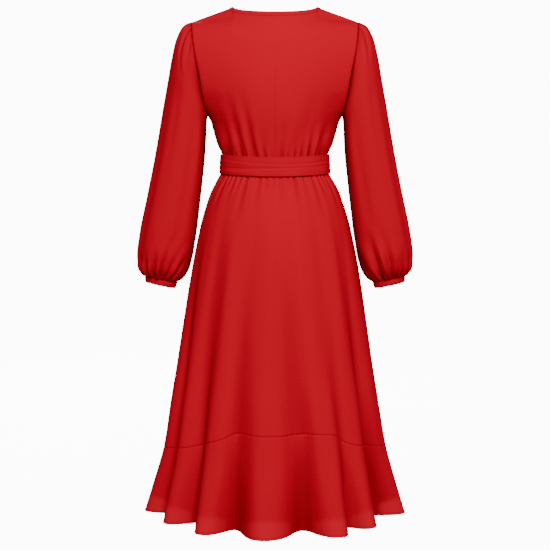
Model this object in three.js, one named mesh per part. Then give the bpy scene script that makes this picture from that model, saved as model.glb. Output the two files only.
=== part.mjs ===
/*
 * A long-sleeved wrap dress, hollow and filled out as it is when worn, with nobody in it.
 * The two fronts cross over each other, the wearer's right one on top, and a sash holds them at the waist.
 * Long full sleeves are gathered into narrow cuffs, the skirt is gathered under the sash, and a deep flounce
 * is sewn round its lower edge. Each cut piece is a wall of cloth with 0.3 mm left free at every seam.
 *
 * Millimetres, +Z up. The wearer faces -Y and the wearer's left is +X.
 * The origin is midway between the two neck points, at the height where the shoulder seams start.
 * A "turn" is an angle round the body, in degrees: 0 at the centre back, 90 at the wearer's right side,
 * 180 at the centre front and 270 at the wearer's left side.
 */
import * as THREE from 'three';

// Driving sizes
const CLOTH = 1.5;
const CUFF_CLOTH = 2;
const BINDING_CLOTH = 1;
const SEAM_GAP = 0.3;
const NECK_POINT_X = 100;
const NECK_DROP_BACK = 16;
const NECK_DEPTH_BACK = 62;
const SHOULDER = { x: 195, z: -34 };
const UNDERARM = { x: 158, z: -248 };
const ARMHOLE_BOW = 5;
const ARMHOLE_DEPTH = { back: 62, front: 56 };
const SHOULDER_ROUNDING = 70;
const WAIST_Z = -366;
const WAIST_DIP_BACK = 6;
const WRAP_EDGE_X = -70;
const WRAP_EDGE_BEND = 1.1;
const WRAP_STEP = 2.4;
const BINDING_WIDTH = 8;
const SEAM_SIDE_Z = -1044;
const SEAM_LIFT_STARTS_Z = -600;
const BELT = { topZ: -343, bottomZ: -388, columns: 56 };
const KNOT = { turn: 222, width: 46, height: 50, depth: 20 };

// How finely each piece is divided
const SKIRT_COLUMNS = 112;
const SKIRT_LEVELS = [-366, -388, -404, -440, -490, -570, -680, -840, -1044];
const FLOUNCE_SHARES = [0.3, 0.65, 1];
const FOLD_COLUMNS = 8;
const FIRST_RIDGE_COLUMN = 2;
const QUARTER = SKIRT_COLUMNS / 4;
const WRAP_COLUMNS = 10;
const GATHER_COLUMNS = 4;
const BACK_COLUMNS = 32;
const FRONT_COLUMNS = 24;
const ARMHOLE_ROWS = 8;
const SIDE_LEVELS = [-275, -308, -340, -366];
const SLEEVE_COLUMNS = 40;

// The trunk of the dress: depth behind and in front of the side seam, and how flat its curve is at the sides
const TRUNK = [
  { z: 0, back: 56, front: 26, flat: 2 },
  { z: -34, back: 72, front: 42, flat: 2 },
  { z: -80, back: 88, front: 60, flat: 2 },
  { z: -140, back: 99, front: 86, flat: 2 },
  { z: -200, back: 103, front: 108, flat: 1.7 },
  { z: -250, back: 101, front: 117, flat: 1.35 },
  { z: -300, back: 93, front: 109, flat: 1.1 },
  { z: -333, back: 87.5, front: 97, flat: 1 },
  { z: -346, back: 85.2, front: 91.5, flat: 1 },
  { z: -366, back: 84, front: 90, flat: 1 },
  { z: -380, back: 84, front: 90, flat: 1 },
];

// Half the width of the trunk at the side seam, from the underarm to the waist
const SIDE_SEAM = [
  { z: -248, side: 158 },
  { z: -270, side: 150 },
  { z: -291, side: 143 },
  { z: -319, side: 134 },
  { z: -333, side: 128.5 },
  { z: -346, side: 124.3 },
  { z: -366, side: 122 },
];

// The skirt and flounce without their folds
const SKIRT = [
  { z: -366, side: 122, back: 84, front: 90 },
  { z: -388, side: 127.2, back: 88, front: 94 },
  { z: -404, side: 137, back: 96, front: 99 },
  { z: -433, side: 149, back: 107, front: 106 },
  { z: -490, side: 168, back: 125, front: 117 },
  { z: -548, side: 182, back: 138, front: 126 },
  { z: -606, side: 193, back: 147, front: 133 },
  { z: -692, side: 206, back: 157, front: 143 },
  { z: -848, side: 226, back: 172, front: 160 },
  { z: -926, side: 236, back: 181, front: 169 },
  { z: -1044, side: 250, back: 194, front: 183 },
  { z: -1123, side: 262, back: 202, front: 192 },
  { z: -1210, side: 275, back: 210, front: 202 },
];

// How far the hanging folds and the gathers under the sash stand out from that, and how far the folds have
// gathered the cloth round the body towards their own places
const FOLD_REACH = [
  { z: -366, folds: 0, gathers: 1.2, drawn: 0 },
  { z: -388, folds: 0, gathers: 1.8, drawn: 0 },
  { z: -404, folds: 0, gathers: 3, drawn: 0 },
  { z: -440, folds: 0, gathers: 2.2, drawn: 0 },
  { z: -490, folds: 0.5, gathers: 1.2, drawn: 0 },
  { z: -606, folds: 2, gathers: 0, drawn: 0.1 },
  { z: -692, folds: 3.5, gathers: 0, drawn: 0.25 },
  { z: -848, folds: 8, gathers: 0, drawn: 0.6 },
  { z: -926, folds: 11, gathers: 0, drawn: 0.8 },
  { z: -1044, folds: 18, gathers: 0, drawn: 1 },
  { z: -1123, folds: 28, gathers: 0, drawn: 1 },
  { z: -1210, folds: 41, gathers: 0, drawn: 1 },
];

// Each hanging fold's ridge: the turn it hangs at, its height, and the depth of the valley that follows it
const FOLDS = [
  { turn: -79, ridge: 1, valley: 0.8 },
  { turn: -55, ridge: 0.9, valley: 1 },
  { turn: -34, ridge: 0.95, valley: 1.05 },
  { turn: -3, ridge: 1.05, valley: 1.05 },
  { turn: 28, ridge: 1, valley: 0.55 },
  { turn: 45, ridge: 0.8, valley: 1 },
  { turn: 78, ridge: 1, valley: 0.8 },
  { turn: 99, ridge: 0.9, valley: 0.9 },
  { turn: 127, ridge: 1, valley: 0.85 },
  { turn: 154, ridge: 0.85, valley: 1 },
  { turn: 180, ridge: 1, valley: 0.9 },
  { turn: 206, ridge: 0.9, valley: 0.95 },
  { turn: 233, ridge: 1, valley: 0.85 },
  { turn: 257, ridge: 0.8, valley: 0.7 },
];
const RIDGE_BREADTH = 0.45;
const SIDE_STEEPNESS = 0.5;

// The flounce seam and the hem: their heights at turns from the centre back to the side, the same on both sides
const EDGES = [
  { turn: 90, seam: -1044, hem: -1194 },
  { turn: 75, seam: -1039, hem: -1198 },
  { turn: 50, seam: -1022, hem: -1204 },
  { turn: 36, seam: -1009, hem: -1210 },
  { turn: 20, seam: -985, hem: -1212 },
  { turn: 0, seam: -986, hem: -1213 },
];

// Rings down the wearer's left sleeve: outer and inner edge as seen from behind, half depth and place in depth,
// and how far the gathers at the head and at the cuff stand out there
const SLEEVE = [
  { outX: 195, outZ: -34, inX: 158, inZ: -248, back: 62, front: 56, y: 0, head: 0.6, cuff: 0 },
  { outX: 213, outZ: -43, inX: 160.5, inZ: -254, back: 63, front: 58, y: 0, head: 3, cuff: 0 },
  { outX: 230, outZ: -71, inX: 162, inZ: -264, back: 63, front: 60, y: -1, head: 3.4, cuff: 0 },
  { outX: 241, outZ: -112, inX: 163, inZ: -282, back: 62, front: 60, y: -2, head: 2, cuff: 0 },
  { outX: 252, outZ: -166, inX: 164, inZ: -308, back: 60, front: 60, y: -4, head: 0.6, cuff: 0 },
  { outX: 267, outZ: -250, inX: 167, inZ: -350, back: 58, front: 60, y: -7, head: 0, cuff: 0 },
  { outX: 285.5, outZ: -350, inX: 174, inZ: -410, back: 57, front: 58, y: -12, head: 0, cuff: 0 },
  { outX: 305, outZ: -445, inX: 182.5, inZ: -477, back: 58, front: 58, y: -19, head: 0, cuff: 0.4 },
  { outX: 321, outZ: -530, inX: 192, inZ: -546, back: 60, front: 58, y: -27, head: 0, cuff: 1.4 },
  { outX: 327, outZ: -592, inX: 205, inZ: -602, back: 57, front: 55, y: -33, head: 0, cuff: 3 },
  { outX: 322.5, outZ: -619, inX: 218, inZ: -630, back: 45, front: 44, y: -35, head: 0, cuff: 3.2 },
  { outX: 313.5, outZ: -635, inX: 238, inZ: -650.5, back: 27, front: 27, y: -36, head: 0, cuff: 1 },
];
const CUFF = [
  { outX: 314.5, outZ: -635.4, inX: 237, inZ: -651.2, back: 28, front: 28, y: -36 },
  { outX: 314, outZ: -651, inX: 242.5, inZ: -666.2, back: 27, front: 27, y: -37 },
];
const SLEEVE_HEAD_SPREAD = 80;

// The sash, and its two ends under the knot
const BELT_RINGS = [
  { share: 0, side: 129.4, back: 91.2, front: 100.6 },
  { share: 0.5, side: 130.6, back: 92.4, front: 101 },
  { share: 1, side: 131.6, back: 93.2, front: 101.4 },
];
const TAILS = [
  { name: 'belt_tail_inner', fromX: 94, toX: 126, toZ: -742, inKnot: -1.3, clear: 1.6 },
  { name: 'belt_tail_outer', fromX: 88, toX: 76, toZ: -790, inKnot: 1.3, clear: 4.4 },
];
const TAIL_WIDTH = { top: 28, full: 44, fullBelow: 40 };
const TAIL_FALLS_IN = 70;
const TAIL_ROWS = 10;
const TAIL_COLUMNS = 3;

const RED = { color: 0xc8141c, roughness: 0.75, metalness: 0 };
const DEEP_RED = { color: 0xb91119, roughness: 0.8, metalness: 0 };

const radians = THREE.MathUtils.degToRad;
const { clamp, lerp, smoothstep } = THREE.MathUtils;

/** A smooth curve through one column of a table, against another column whose values fall from row to row. */
function lookUp(rows, key, value, by = 'z') {
  const last = rows.length - 1;
  const at = clamp(value, rows[last][by], rows[0][by]);
  let i = 0;
  while (i < last - 1 && rows[i + 1][by] > at) i += 1;
  const slope = (k) => {
    const a = rows[Math.max(k - 1, 0)];
    const b = rows[Math.min(k + 1, last)];
    return (b[key] - a[key]) / (b[by] - a[by]);
  };
  const step = rows[i + 1][by] - rows[i][by];
  const t = (at - rows[i][by]) / step;
  const rise = t * t * (3 - 2 * t);
  return rows[i][key] * (1 - rise) + rows[i + 1][key] * rise
    + step * (slope(i) * t * (1 - t) ** 2 - slope(i + 1) * t * t * (1 - t));
}

/** The direction a grid of places faces at each place, square to the rows and columns that cross there. */
function facings(grid, round) {
  const columns = grid[0].length;
  return grid.map((row, i) => row.map((_, j) => {
    const above = grid[Math.max(i - 1, 0)][j];
    const below = grid[Math.min(i + 1, grid.length - 1)][j];
    const before = round ? row[(j + columns - 1) % columns] : row[Math.max(j - 1, 0)];
    const after = round ? row[(j + 1) % columns] : row[Math.min(j + 1, columns - 1)];
    const down = below.clone().sub(above);
    const along = after.clone().sub(before);
    return down.cross(along).normalize();
  }));
}

/** Takes out of a facing what points along one direction, so that a cut edge lies square to it. */
function squareTo(facing, direction) {
  return facing.addScaledVector(direction, -facing.dot(direction)).normalize();
}

/**
 * A closed wall of cloth, half its thickness on each side of a grid of places. Two walls that share a seam split
 * its narrow edge faces the same way, so that the gap between them stays even where the seam twists.
 */
function clothWall(grid, faces, thickness, round = false) {
  const rows = grid.length;
  const columns = grid[0].length;
  const layer = rows * columns;
  const positions = [];
  for (const side of [0.5, -0.5]) {
    grid.forEach((row, i) => row.forEach((place, j) => {
      positions.push(...place.clone().addScaledVector(faces[i][j], side * thickness).toArray());
    }));
  }
  const index = [];
  const quad = (a, b, c, d) => index.push(a, b, c, a, c, d);
  const at = (i, j) => i * columns + (j % columns);
  const strips = round ? columns : columns - 1;
  for (let j = 0; j < strips; j += 1) {
    for (let i = 0; i < rows - 1; i += 1) {
      const [a, b, c, d] = [at(i, j), at(i + 1, j), at(i + 1, j + 1), at(i, j + 1)];
      quad(a, b, c, d);
      index.push(a + layer, c + layer, b + layer, a + layer, d + layer, c + layer);
    }
    quad(at(0, j), at(0, j + 1), at(0, j + 1) + layer, at(0, j) + layer);
    quad(at(rows - 1, j), at(rows - 1, j) + layer, at(rows - 1, j + 1) + layer, at(rows - 1, j + 1));
  }
  if (!round) {
    for (let i = 0; i < rows - 1; i += 1) {
      const end = columns - 1;
      quad(at(i, 0), at(i, 0) + layer, at(i + 1, 0) + layer, at(i + 1, 0));
      quad(at(i, end), at(i + 1, end), at(i + 1, end) + layer, at(i, end) + layer);
    }
  }
  const geometry = new THREE.BufferGeometry();
  geometry.setAttribute('position', new THREE.Float32BufferAttribute(positions, 3));
  geometry.setIndex(index);
  return geometry;
}

/** Moves the places on one edge of a grid half a seam gap towards the next line of places. */
function drawBack(edge, inward) {
  edge.forEach((place, k) => {
    place.addScaledVector(inward[k].clone().sub(place).normalize(), SEAM_GAP / 2);
  });
}

const dress = new THREE.Group();

/** Adds one named piece of the dress. */
function sew(name, geometry, finish) {
  const piece = new THREE.Mesh(geometry, new THREE.MeshStandardMaterial(finish));
  piece.name = name;
  dress.add(piece);
  return piece;
}

// Skirt and flounce

/** A column's fold: the turn it hangs at where the folds are deepest, and its swing from -1 in a valley to 1. */
function foldAt(column) {
  const along = (column - FIRST_RIDGE_COLUMN) / FOLD_COLUMNS;
  const number = Math.floor(along);
  const share = along - number;
  const here = FOLDS[(number + FOLDS.length) % FOLDS.length];
  const next = FOLDS[(number + 1 + FOLDS.length) % FOLDS.length];
  const span = (((next.turn - here.turn) % 360) + 360) % 360;
  const wave = 2 * Math.PI * share;
  const spread = share + (RIDGE_BREADTH * Math.sin(wave)) / (2 * Math.PI)
    + (SIDE_STEEPNESS * Math.sin(2 * wave)) / (4 * Math.PI);
  const turn = here.turn + spread * span + (number < 0 ? -360 : 0);
  const ridge = share < 0.5 ? here.ridge : next.ridge;
  return { turn, swing: ridge - (ridge + here.valley) * (1 - Math.cos(wave)) / 2 };
}

/** How the gathers under the sash swing at a column: one gather every few columns, each a little unlike the next. */
function gatherSwing(column) {
  const gather = Math.floor(column / GATHER_COLUMNS);
  return Math.cos(2 * Math.PI * column / GATHER_COLUMNS) * (0.8 + 0.2 * Math.sin(2.4 * gather));
}

/** How much lower than at the sides the waist is at a turn. */
function waistDip(turn) {
  return WAIST_DIP_BACK * Math.max(Math.cos(radians(turn)), 0) ** 2;
}

/** The turn away from the centre back, no more than a right angle: the front is as the sides are. */
function awayFromBack(turn) {
  return Math.min(Math.abs(((turn + 540) % 360) - 180), 90);
}

/** A place on the skirt or flounce: at a turn and a height, pushed out by folds, gathers and a distance. */
function skirtPlace(turn, z, sizedAt, swing, gathers, extra = 0) {
  const sin = Math.sin(radians(turn));
  const cos = Math.cos(radians(turn));
  const side = lookUp(SKIRT, 'side', sizedAt);
  const depth = lookUp(SKIRT, cos >= 0 ? 'back' : 'front', sizedAt);
  const outward = new THREE.Vector3(-sin / side, cos / depth, 0).normalize();
  const stand = lookUp(FOLD_REACH, 'folds', sizedAt) * swing
    + lookUp(FOLD_REACH, 'gathers', sizedAt) * gathers;
  return new THREE.Vector3(-side * sin, depth * cos, z).addScaledVector(outward, stand + extra);
}

/** The rows of heights of the skirt and flounce at a turn, each with the height its size is read at. */
function skirtHeights(turn) {
  const away = awayFromBack(turn);
  const seam = lookUp(EDGES, 'seam', away, 'turn');
  const hem = lookUp(EDGES, 'hem', away, 'turn');
  const skirt = SKIRT_LEVELS.map((level) => {
    const lifted = smoothstep(-level, -SEAM_LIFT_STARTS_Z, -SEAM_SIDE_Z) * (seam - SEAM_SIDE_Z);
    const dipped = waistDip(turn) * (1 - smoothstep(-level, -WAIST_Z, -SEAM_LIFT_STARTS_Z));
    return { z: level + lifted - dipped, sizedAt: level + lifted };
  });
  const lowest = SKIRT[SKIRT.length - 1].z;
  const flounce = FLOUNCE_SHARES.map((share) => ({
    z: lerp(seam, hem, share),
    sizedAt: lerp(seam, lowest, share),
  }));
  return [...skirt, ...flounce];
}

const SEAM_ROW = SKIRT_LEVELS.length - 1;
const skirtColumns = Array.from({ length: SKIRT_COLUMNS }, (_, column) => {
  const evenTurn = (column * 360) / SKIRT_COLUMNS - 90;
  const fold = foldAt(column);
  const heights = skirtHeights(evenTurn);
  return heights.map(({ z, sizedAt }) => {
    const turn = lerp(evenTurn, fold.turn, lookUp(FOLD_REACH, 'drawn', sizedAt));
    return skirtPlace(turn, z, sizedAt, fold.swing, gatherSwing(column));
  });
});
const skirtGrid = skirtColumns[0].map((_, i) => skirtColumns.map((column) => column[i]));
const skirtFaces = facings(skirtGrid, true);
skirtFaces[0].forEach((facing) => squareTo(facing, new THREE.Vector3(0, 0, 1)));

/** One panel of the skirt or flounce, between two rows and two columns of the whole round. */
function skirtPanel(name, rowSpan, columnSpan, { under = false } = {}) {
  const grid = [];
  const faces = [];
  for (let i = rowSpan[0]; i <= rowSpan[1]; i += 1) {
    const places = [];
    const facing = [];
    for (let j = columnSpan[0]; j <= columnSpan[1]; j += 1) {
      const column = j % SKIRT_COLUMNS;
      const face = skirtFaces[i][column];
      const tucked = under ? 1 - smoothstep(j, 3 * QUARTER + WRAP_COLUMNS + 4, 4 * QUARTER) : 0;
      places.push(skirtGrid[i][column].clone().addScaledVector(face, -2 * WRAP_STEP * tucked));
      facing.push(face.clone());
    }
    grid.push(places);
    faces.push(facing);
  }
  const inFront = columnSpan[0] > 0;
  const last = columnSpan[1] - columnSpan[0];
  if (!inFront || !under) drawBack(grid.map((row) => row[0]), grid.map((row) => row[1]));
  if (!inFront || under) drawBack(grid.map((row) => row[last]), grid.map((row) => row[last - 1]));
  if (rowSpan[0] === 0) grid[0].forEach((place) => { place.z -= SEAM_GAP / 2; });
  if (rowSpan[0] === SEAM_ROW) drawBack(grid[0], grid[1]);
  if (rowSpan[1] === SEAM_ROW) drawBack(grid[SEAM_ROW], grid[SEAM_ROW - 1]);
  return sew(name, clothWall(grid, faces, CLOTH), RED);
}

const SKIRT_ROWS = [0, SEAM_ROW];
const FLOUNCE_ROWS = [SEAM_ROW, SEAM_ROW + FLOUNCE_SHARES.length];
const BACK_SPAN = [0, 2 * QUARTER];
const OVER_SPAN = [2 * QUARTER, 3 * QUARTER + WRAP_COLUMNS];
const UNDER_SPAN = [3 * QUARTER - WRAP_COLUMNS, 4 * QUARTER];
for (const [piece, rows] of [['skirt', SKIRT_ROWS], ['flounce', FLOUNCE_ROWS]]) {
  skirtPanel(`${piece}_back`, rows, BACK_SPAN);
  skirtPanel(`${piece}_front_right`, rows, OVER_SPAN);
  skirtPanel(`${piece}_front_left`, rows, UNDER_SPAN, { under: true });
}

// Bodice

/** The armhole seam at an angle round it: 0 at the shoulder, 180 at the underarm. Its front half has a negative angle. */
function armhole(angle) {
  const middle = (SHOULDER.z + UNDERARM.z) / 2;
  const half = (SHOULDER.z - UNDERARM.z) / 2;
  const z = middle + half * Math.cos(radians(angle));
  const down = (SHOULDER.z - z) / (SHOULDER.z - UNDERARM.z);
  const bow = ARMHOLE_BOW * Math.sin(Math.PI * down ** 0.7);
  const depth = angle >= 0 ? ARMHOLE_DEPTH.back : ARMHOLE_DEPTH.front;
  return new THREE.Vector3(lerp(SHOULDER.x, UNDERARM.x, down) + bow, depth * Math.sin(radians(angle)), z);
}
const ARMHOLE_OUTWARD = new THREE.Vector3(SHOULDER.z - UNDERARM.z, 0, UNDERARM.x - SHOULDER.x).normalize();

/** Where the edge of the armhole or the side seam is at a height: its distance from the middle and its depth. */
function sideEdge(z, depth) {
  if (z >= SHOULDER.z) return { x: SHOULDER.x, y: 0 };
  if (z <= UNDERARM.z) return { x: lookUp(SIDE_SEAM, 'side', z), y: 0 };
  const middle = (SHOULDER.z + UNDERARM.z) / 2;
  const half = (SHOULDER.z - UNDERARM.z) / 2;
  const angle = THREE.MathUtils.radToDeg(Math.acos(clamp((z - middle) / half, -1, 1)));
  return { x: armhole(angle).x, y: depth * Math.sin(radians(angle)) };
}

/** The depth of the trunk at a place seen from behind or in front, rounded over the shoulder and the neck edge. */
function trunkDepth(x, z, where) {
  const edge = sideEdge(z, ARMHOLE_DEPTH[where]);
  const out = clamp(Math.abs(x) / edge.x, 0, 1);
  const crown = Math.sqrt(1 - out * out) ** lookUp(TRUNK, 'flat', z);
  const full = edge.y + (lookUp(TRUNK, where, z) - edge.y) * crown;
  const overShoulder = clamp((Math.abs(x) - NECK_POINT_X) / (SHOULDER.x - NECK_POINT_X), 0, 1);
  const atNeck = Math.sqrt(1 - Math.min(Math.abs(x) / NECK_POINT_X, 1) ** 2);
  const topZ = where === 'back' ? SHOULDER.z * overShoulder - NECK_DROP_BACK * atNeck : SHOULDER.z * overShoulder;
  const topY = where === 'back' ? Math.max(NECK_DEPTH_BACK * atNeck, edge.y) : edge.y;
  const round = 1 - clamp((topZ - z) / SHOULDER_ROUNDING, 0, 1);
  return topY + (full - topY) * Math.sqrt(1 - round * round);
}

const BODICE_HEIGHTS = [
  ...Array.from({ length: ARMHOLE_ROWS + 1 }, (_, k) => armhole((180 * k) / ARMHOLE_ROWS).z),
  ...SIDE_LEVELS,
];
const bodiceShare = (z) => (SHOULDER.z - z) / (SHOULDER.z - WAIST_Z);

/** How far a gather above the sash stands out, at a height and a column. */
function bodiceGather(column, z, fade) {
  const reach = 2.8 * smoothstep(-z, 235, 325) - 1.6 * smoothstep(-z, 325, 345);
  return -reach * fade * Math.cos(2 * Math.PI * column / GATHER_COLUMNS);
}

/** Squares the edges of a bodice panel to what they are sewn to: waist, side seam, armhole and shoulder. */
function squareBodiceEdges(faces, sideColumns, shoulderColumns, mirror) {
  const backward = new THREE.Vector3(0, 1, 0);
  faces[faces.length - 1].forEach((facing) => squareTo(facing, new THREE.Vector3(0, 0, 1)));
  shoulderColumns.forEach((j) => squareTo(faces[0][j], backward));
  sideColumns.forEach((j) => faces.forEach((row, i) => {
    const outward = ARMHOLE_OUTWARD.clone();
    outward.x *= mirror(j);
    squareTo(row[j], i <= ARMHOLE_ROWS ? outward : backward);
    if (i === ARMHOLE_ROWS) squareTo(row[j], backward);
  }));
}

const backGrid = BODICE_HEIGHTS.map((sideZ) => {
  const share = bodiceShare(sideZ);
  return Array.from({ length: BACK_COLUMNS + 1 }, (_, j) => {
    const across = 1 - (2 * j) / BACK_COLUMNS;
    const size = Math.abs(across);
    const neckShare = Math.min(size * 2, 1);
    const shoulderShare = Math.max(size * 2 - 1, 0);
    const topX = NECK_POINT_X * Math.sin(radians(90 * neckShare)) + (SHOULDER.x - NECK_POINT_X) * shoulderShare;
    const topZ = -NECK_DROP_BACK * Math.cos(radians(90 * neckShare)) + SHOULDER.z * shoulderShare;
    const edgeX = sideEdge(sideZ, 0).x;
    const spread = smoothstep(share, 0, 0.6);
    const x = edgeX * lerp(topX / SHOULDER.x, Math.sin(radians(90 * size)), spread);
    const dip = waistDip(90 * size);
    const z = lerp(topZ, WAIST_Z - dip, share);
    const atEdge = size === 1;
    const y = atEdge ? sideEdge(sideZ, ARMHOLE_DEPTH.back).y : trunkDepth(x, z, 'back');
    const outward = new THREE.Vector3(x / edgeX, y / 90, 0).normalize();
    outward.x *= Math.sign(across);
    return new THREE.Vector3(Math.sign(across) * x, y, z).addScaledVector(outward, bodiceGather(j, z, 1));
  });
});

/** The grid of one crossed front, as if it were the wearer's left one: from its armhole and side seam to its edge. */
function frontGrid(over) {
  const step = over ? WRAP_STEP : -WRAP_STEP;
  return BODICE_HEIGHTS.map((sideZ) => {
    const share = bodiceShare(sideZ);
    const edge = lerp(NECK_POINT_X, WRAP_EDGE_X, share ** WRAP_EDGE_BEND);
    const side = sideEdge(sideZ, 0).x;
    const inner = edge + (side > edge + 2 * BINDING_WIDTH ? BINDING_WIDTH : 0);
    return Array.from({ length: FRONT_COLUMNS + 1 }, (_, j) => {
      const across = Math.min(j / (FRONT_COLUMNS - 1), 1);
      const x = j === FRONT_COLUMNS ? edge : lerp(side, inner, across);
      const along = (side - x) / (side - edge);
      const z = lerp(lerp(SHOULDER.z, 0, along), WAIST_Z, share);
      const y = j === 0 ? -sideEdge(sideZ, ARMHOLE_DEPTH.front).y : -trunkDepth(x, z, 'front');
      const outward = new THREE.Vector3(x / side, y / 95, 0).normalize();
      const fade = 1 - smoothstep(side - x, 20, 50);
      const lift = step * smoothstep(share, 0.2, 0.5) * smoothstep(along, 0.02, 0.25);
      return new THREE.Vector3(x, y, z).addScaledVector(outward, lift + bodiceGather(j, z, fade));
    });
  });
}

/** The places of a grid seen in a mirror, with its columns in the other order so that it still faces out. */
function mirrored(grid) {
  return grid.map((row) => row.map((place) => new THREE.Vector3(-place.x, place.y, place.z)).reverse());
}

/** Frees the seams of a bodice panel: at the waist, the shoulder seam, the side seam and the armhole. */
function freeBodiceSeams(grid, sideColumns, shoulderColumns, depthSign, mirror) {
  grid[grid.length - 1].forEach((place) => { place.z += SEAM_GAP / 2; });
  shoulderColumns.forEach((j) => { grid[0][j].y += depthSign * SEAM_GAP / 2; });
  sideColumns.forEach((j) => grid.forEach((row, i) => {
    if (i <= ARMHOLE_ROWS) {
      row[j].x -= mirror(j) * ARMHOLE_OUTWARD.x * SEAM_GAP / 2;
      row[j].z -= ARMHOLE_OUTWARD.z * SEAM_GAP / 2;
    }
    if (i >= ARMHOLE_ROWS) row[j].y += depthSign * SEAM_GAP / 2;
  }));
}

/** A narrow folded binding that lies on a strip of a panel's own places, moved out. */
function binding(name, strip, stripFaces) {
  const clear = CLOTH / 2 + SEAM_GAP + BINDING_CLOTH / 2;
  const places = strip.map((row, i) => row.map((place, j) => place.clone().addScaledVector(stripFaces[i][j], clear)));
  return sew(name, clothWall(places, stripFaces, BINDING_CLOTH), DEEP_RED);
}

const range = (from, to) => Array.from({ length: to - from + 1 }, (_, k) => from + k);
const sideOf = (j) => (j === 0 ? 1 : -1);
const NECK_COLUMNS = [BACK_COLUMNS / 4, (3 * BACK_COLUMNS) / 4];
const shoulderColumns = [...range(0, NECK_COLUMNS[0]), ...range(NECK_COLUMNS[1], BACK_COLUMNS)];
const backFaces = facings(backGrid, false);
squareBodiceEdges(backFaces, [0, BACK_COLUMNS], shoulderColumns, sideOf);
freeBodiceSeams(backGrid, [0, BACK_COLUMNS], shoulderColumns, 1, sideOf);
sew('bodice_back', clothWall(backGrid, backFaces, CLOTH), RED);
const neckStrip = (grid) => grid.slice(0, 2).map((row) => row.slice(NECK_COLUMNS[0], NECK_COLUMNS[1] + 1));
binding('neck_binding_back', neckStrip(backGrid), neckStrip(backFaces));

for (const side of ['right', 'left']) {
  const over = side === 'right';
  // The left front, seen from above, runs the other way round from its side seam, so it is the one turned about.
  const own = frontGrid(over);
  const grid = over ? own.map((row) => row.map((place) => new THREE.Vector3(-place.x, place.y, place.z)))
    : own.map((row) => [...row].reverse());
  const sideColumn = over ? 0 : FRONT_COLUMNS;
  const outerSide = () => (over ? -1 : 1);
  const faces = facings(grid, false);
  squareBodiceEdges(faces, [sideColumn], range(0, FRONT_COLUMNS), outerSide);
  freeBodiceSeams(grid, [sideColumn], range(0, FRONT_COLUMNS), -1, outerSide);
  sew(`bodice_front_${side}`, clothWall(grid, faces, CLOTH), RED);
  const edgeColumns = over ? [FRONT_COLUMNS - 1, FRONT_COLUMNS + 1] : [0, 2];
  const edgeStrip = (all) => all.map((row) => row.slice(...edgeColumns));
  binding(`neck_binding_${side}`, edgeStrip(grid), edgeStrip(faces));
}

// Sleeves

/** One ring of the wearer's left sleeve or cuff, from the outer edge round the back, with its gathers. */
function sleeveRing(ring, isArmhole) {
  const outer = new THREE.Vector3(ring.outX, 0, ring.outZ);
  const inner = new THREE.Vector3(ring.inX, 0, ring.inZ);
  const middle = outer.clone().add(inner).multiplyScalar(0.5);
  const half = outer.clone().sub(inner).multiplyScalar(0.5);
  const across = half.clone().normalize();
  const places = [];
  const faces = [];
  for (let j = 0; j < SLEEVE_COLUMNS; j += 1) {
    const angle = (j * 360) / SLEEVE_COLUMNS;
    const [sin, cos] = [Math.sin(radians(angle)), Math.cos(radians(angle))];
    const depth = sin >= 0 ? ring.back : ring.front;
    const facing = across.clone().multiplyScalar(cos / half.length());
    facing.y = sin / depth;
    facing.normalize();
    const fromTop = Math.min(angle, 360 - angle);
    const swing = -Math.cos(2 * Math.PI * j / GATHER_COLUMNS);
    const head = (ring.head ?? 0) * (1 - smoothstep(fromTop, SLEEVE_HEAD_SPREAD / 2, SLEEVE_HEAD_SPREAD));
    const stand = swing * (head + (ring.cuff ?? 0));
    const place = isArmhole ? armhole(angle <= 180 ? angle : angle - 360)
      : middle.clone().addScaledVector(half, cos).add(new THREE.Vector3(0, ring.y + depth * sin, 0));
    places.push(place.addScaledVector(facing, stand));
    faces.push(facing);
  }
  return { places, faces };
}

/** A sleeve or cuff through its rings, on the wearer's left or, mirrored, on the right. */
function sleeveTube(name, rings, thickness, side, startsAtArmhole) {
  const made = rings.map((ring, k) => sleeveRing(ring, startsAtArmhole && k === 0));
  let grid = made.map((ring) => ring.places);
  const last = grid.length - 1;
  if (startsAtArmhole) {
    grid[0].forEach((place) => place.addScaledVector(ARMHOLE_OUTWARD, SEAM_GAP / 2));
  }
  let faces = facings(grid, true);
  faces[0] = made[0].faces;
  faces[last] = made[last].faces;
  if (side === 'right') {
    grid = mirrored(grid);
    faces = mirrored(faces);
  }
  return sew(name, clothWall(grid, faces, thickness, true), thickness === CLOTH ? RED : DEEP_RED);
}

for (const side of ['left', 'right']) {
  sleeveTube(`sleeve_${side}`, SLEEVE, CLOTH, side, true);
  sleeveTube(`cuff_${side}`, CUFF, CUFF_CLOTH, side, false);
}

// Sash

const beltGrid = BELT_RINGS.map((ring) => Array.from({ length: BELT.columns }, (_, j) => {
  const turn = (j * 360) / BELT.columns;
  const [sin, cos] = [Math.sin(radians(turn)), Math.cos(radians(turn))];
  const z = lerp(BELT.topZ, BELT.bottomZ, ring.share) - waistDip(turn);
  return new THREE.Vector3(-ring.side * sin, (cos >= 0 ? ring.back : ring.front) * cos, z);
}));
sew('belt_band', clothWall(beltGrid, facings(beltGrid, true), CLOTH, true), DEEP_RED);

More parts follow.
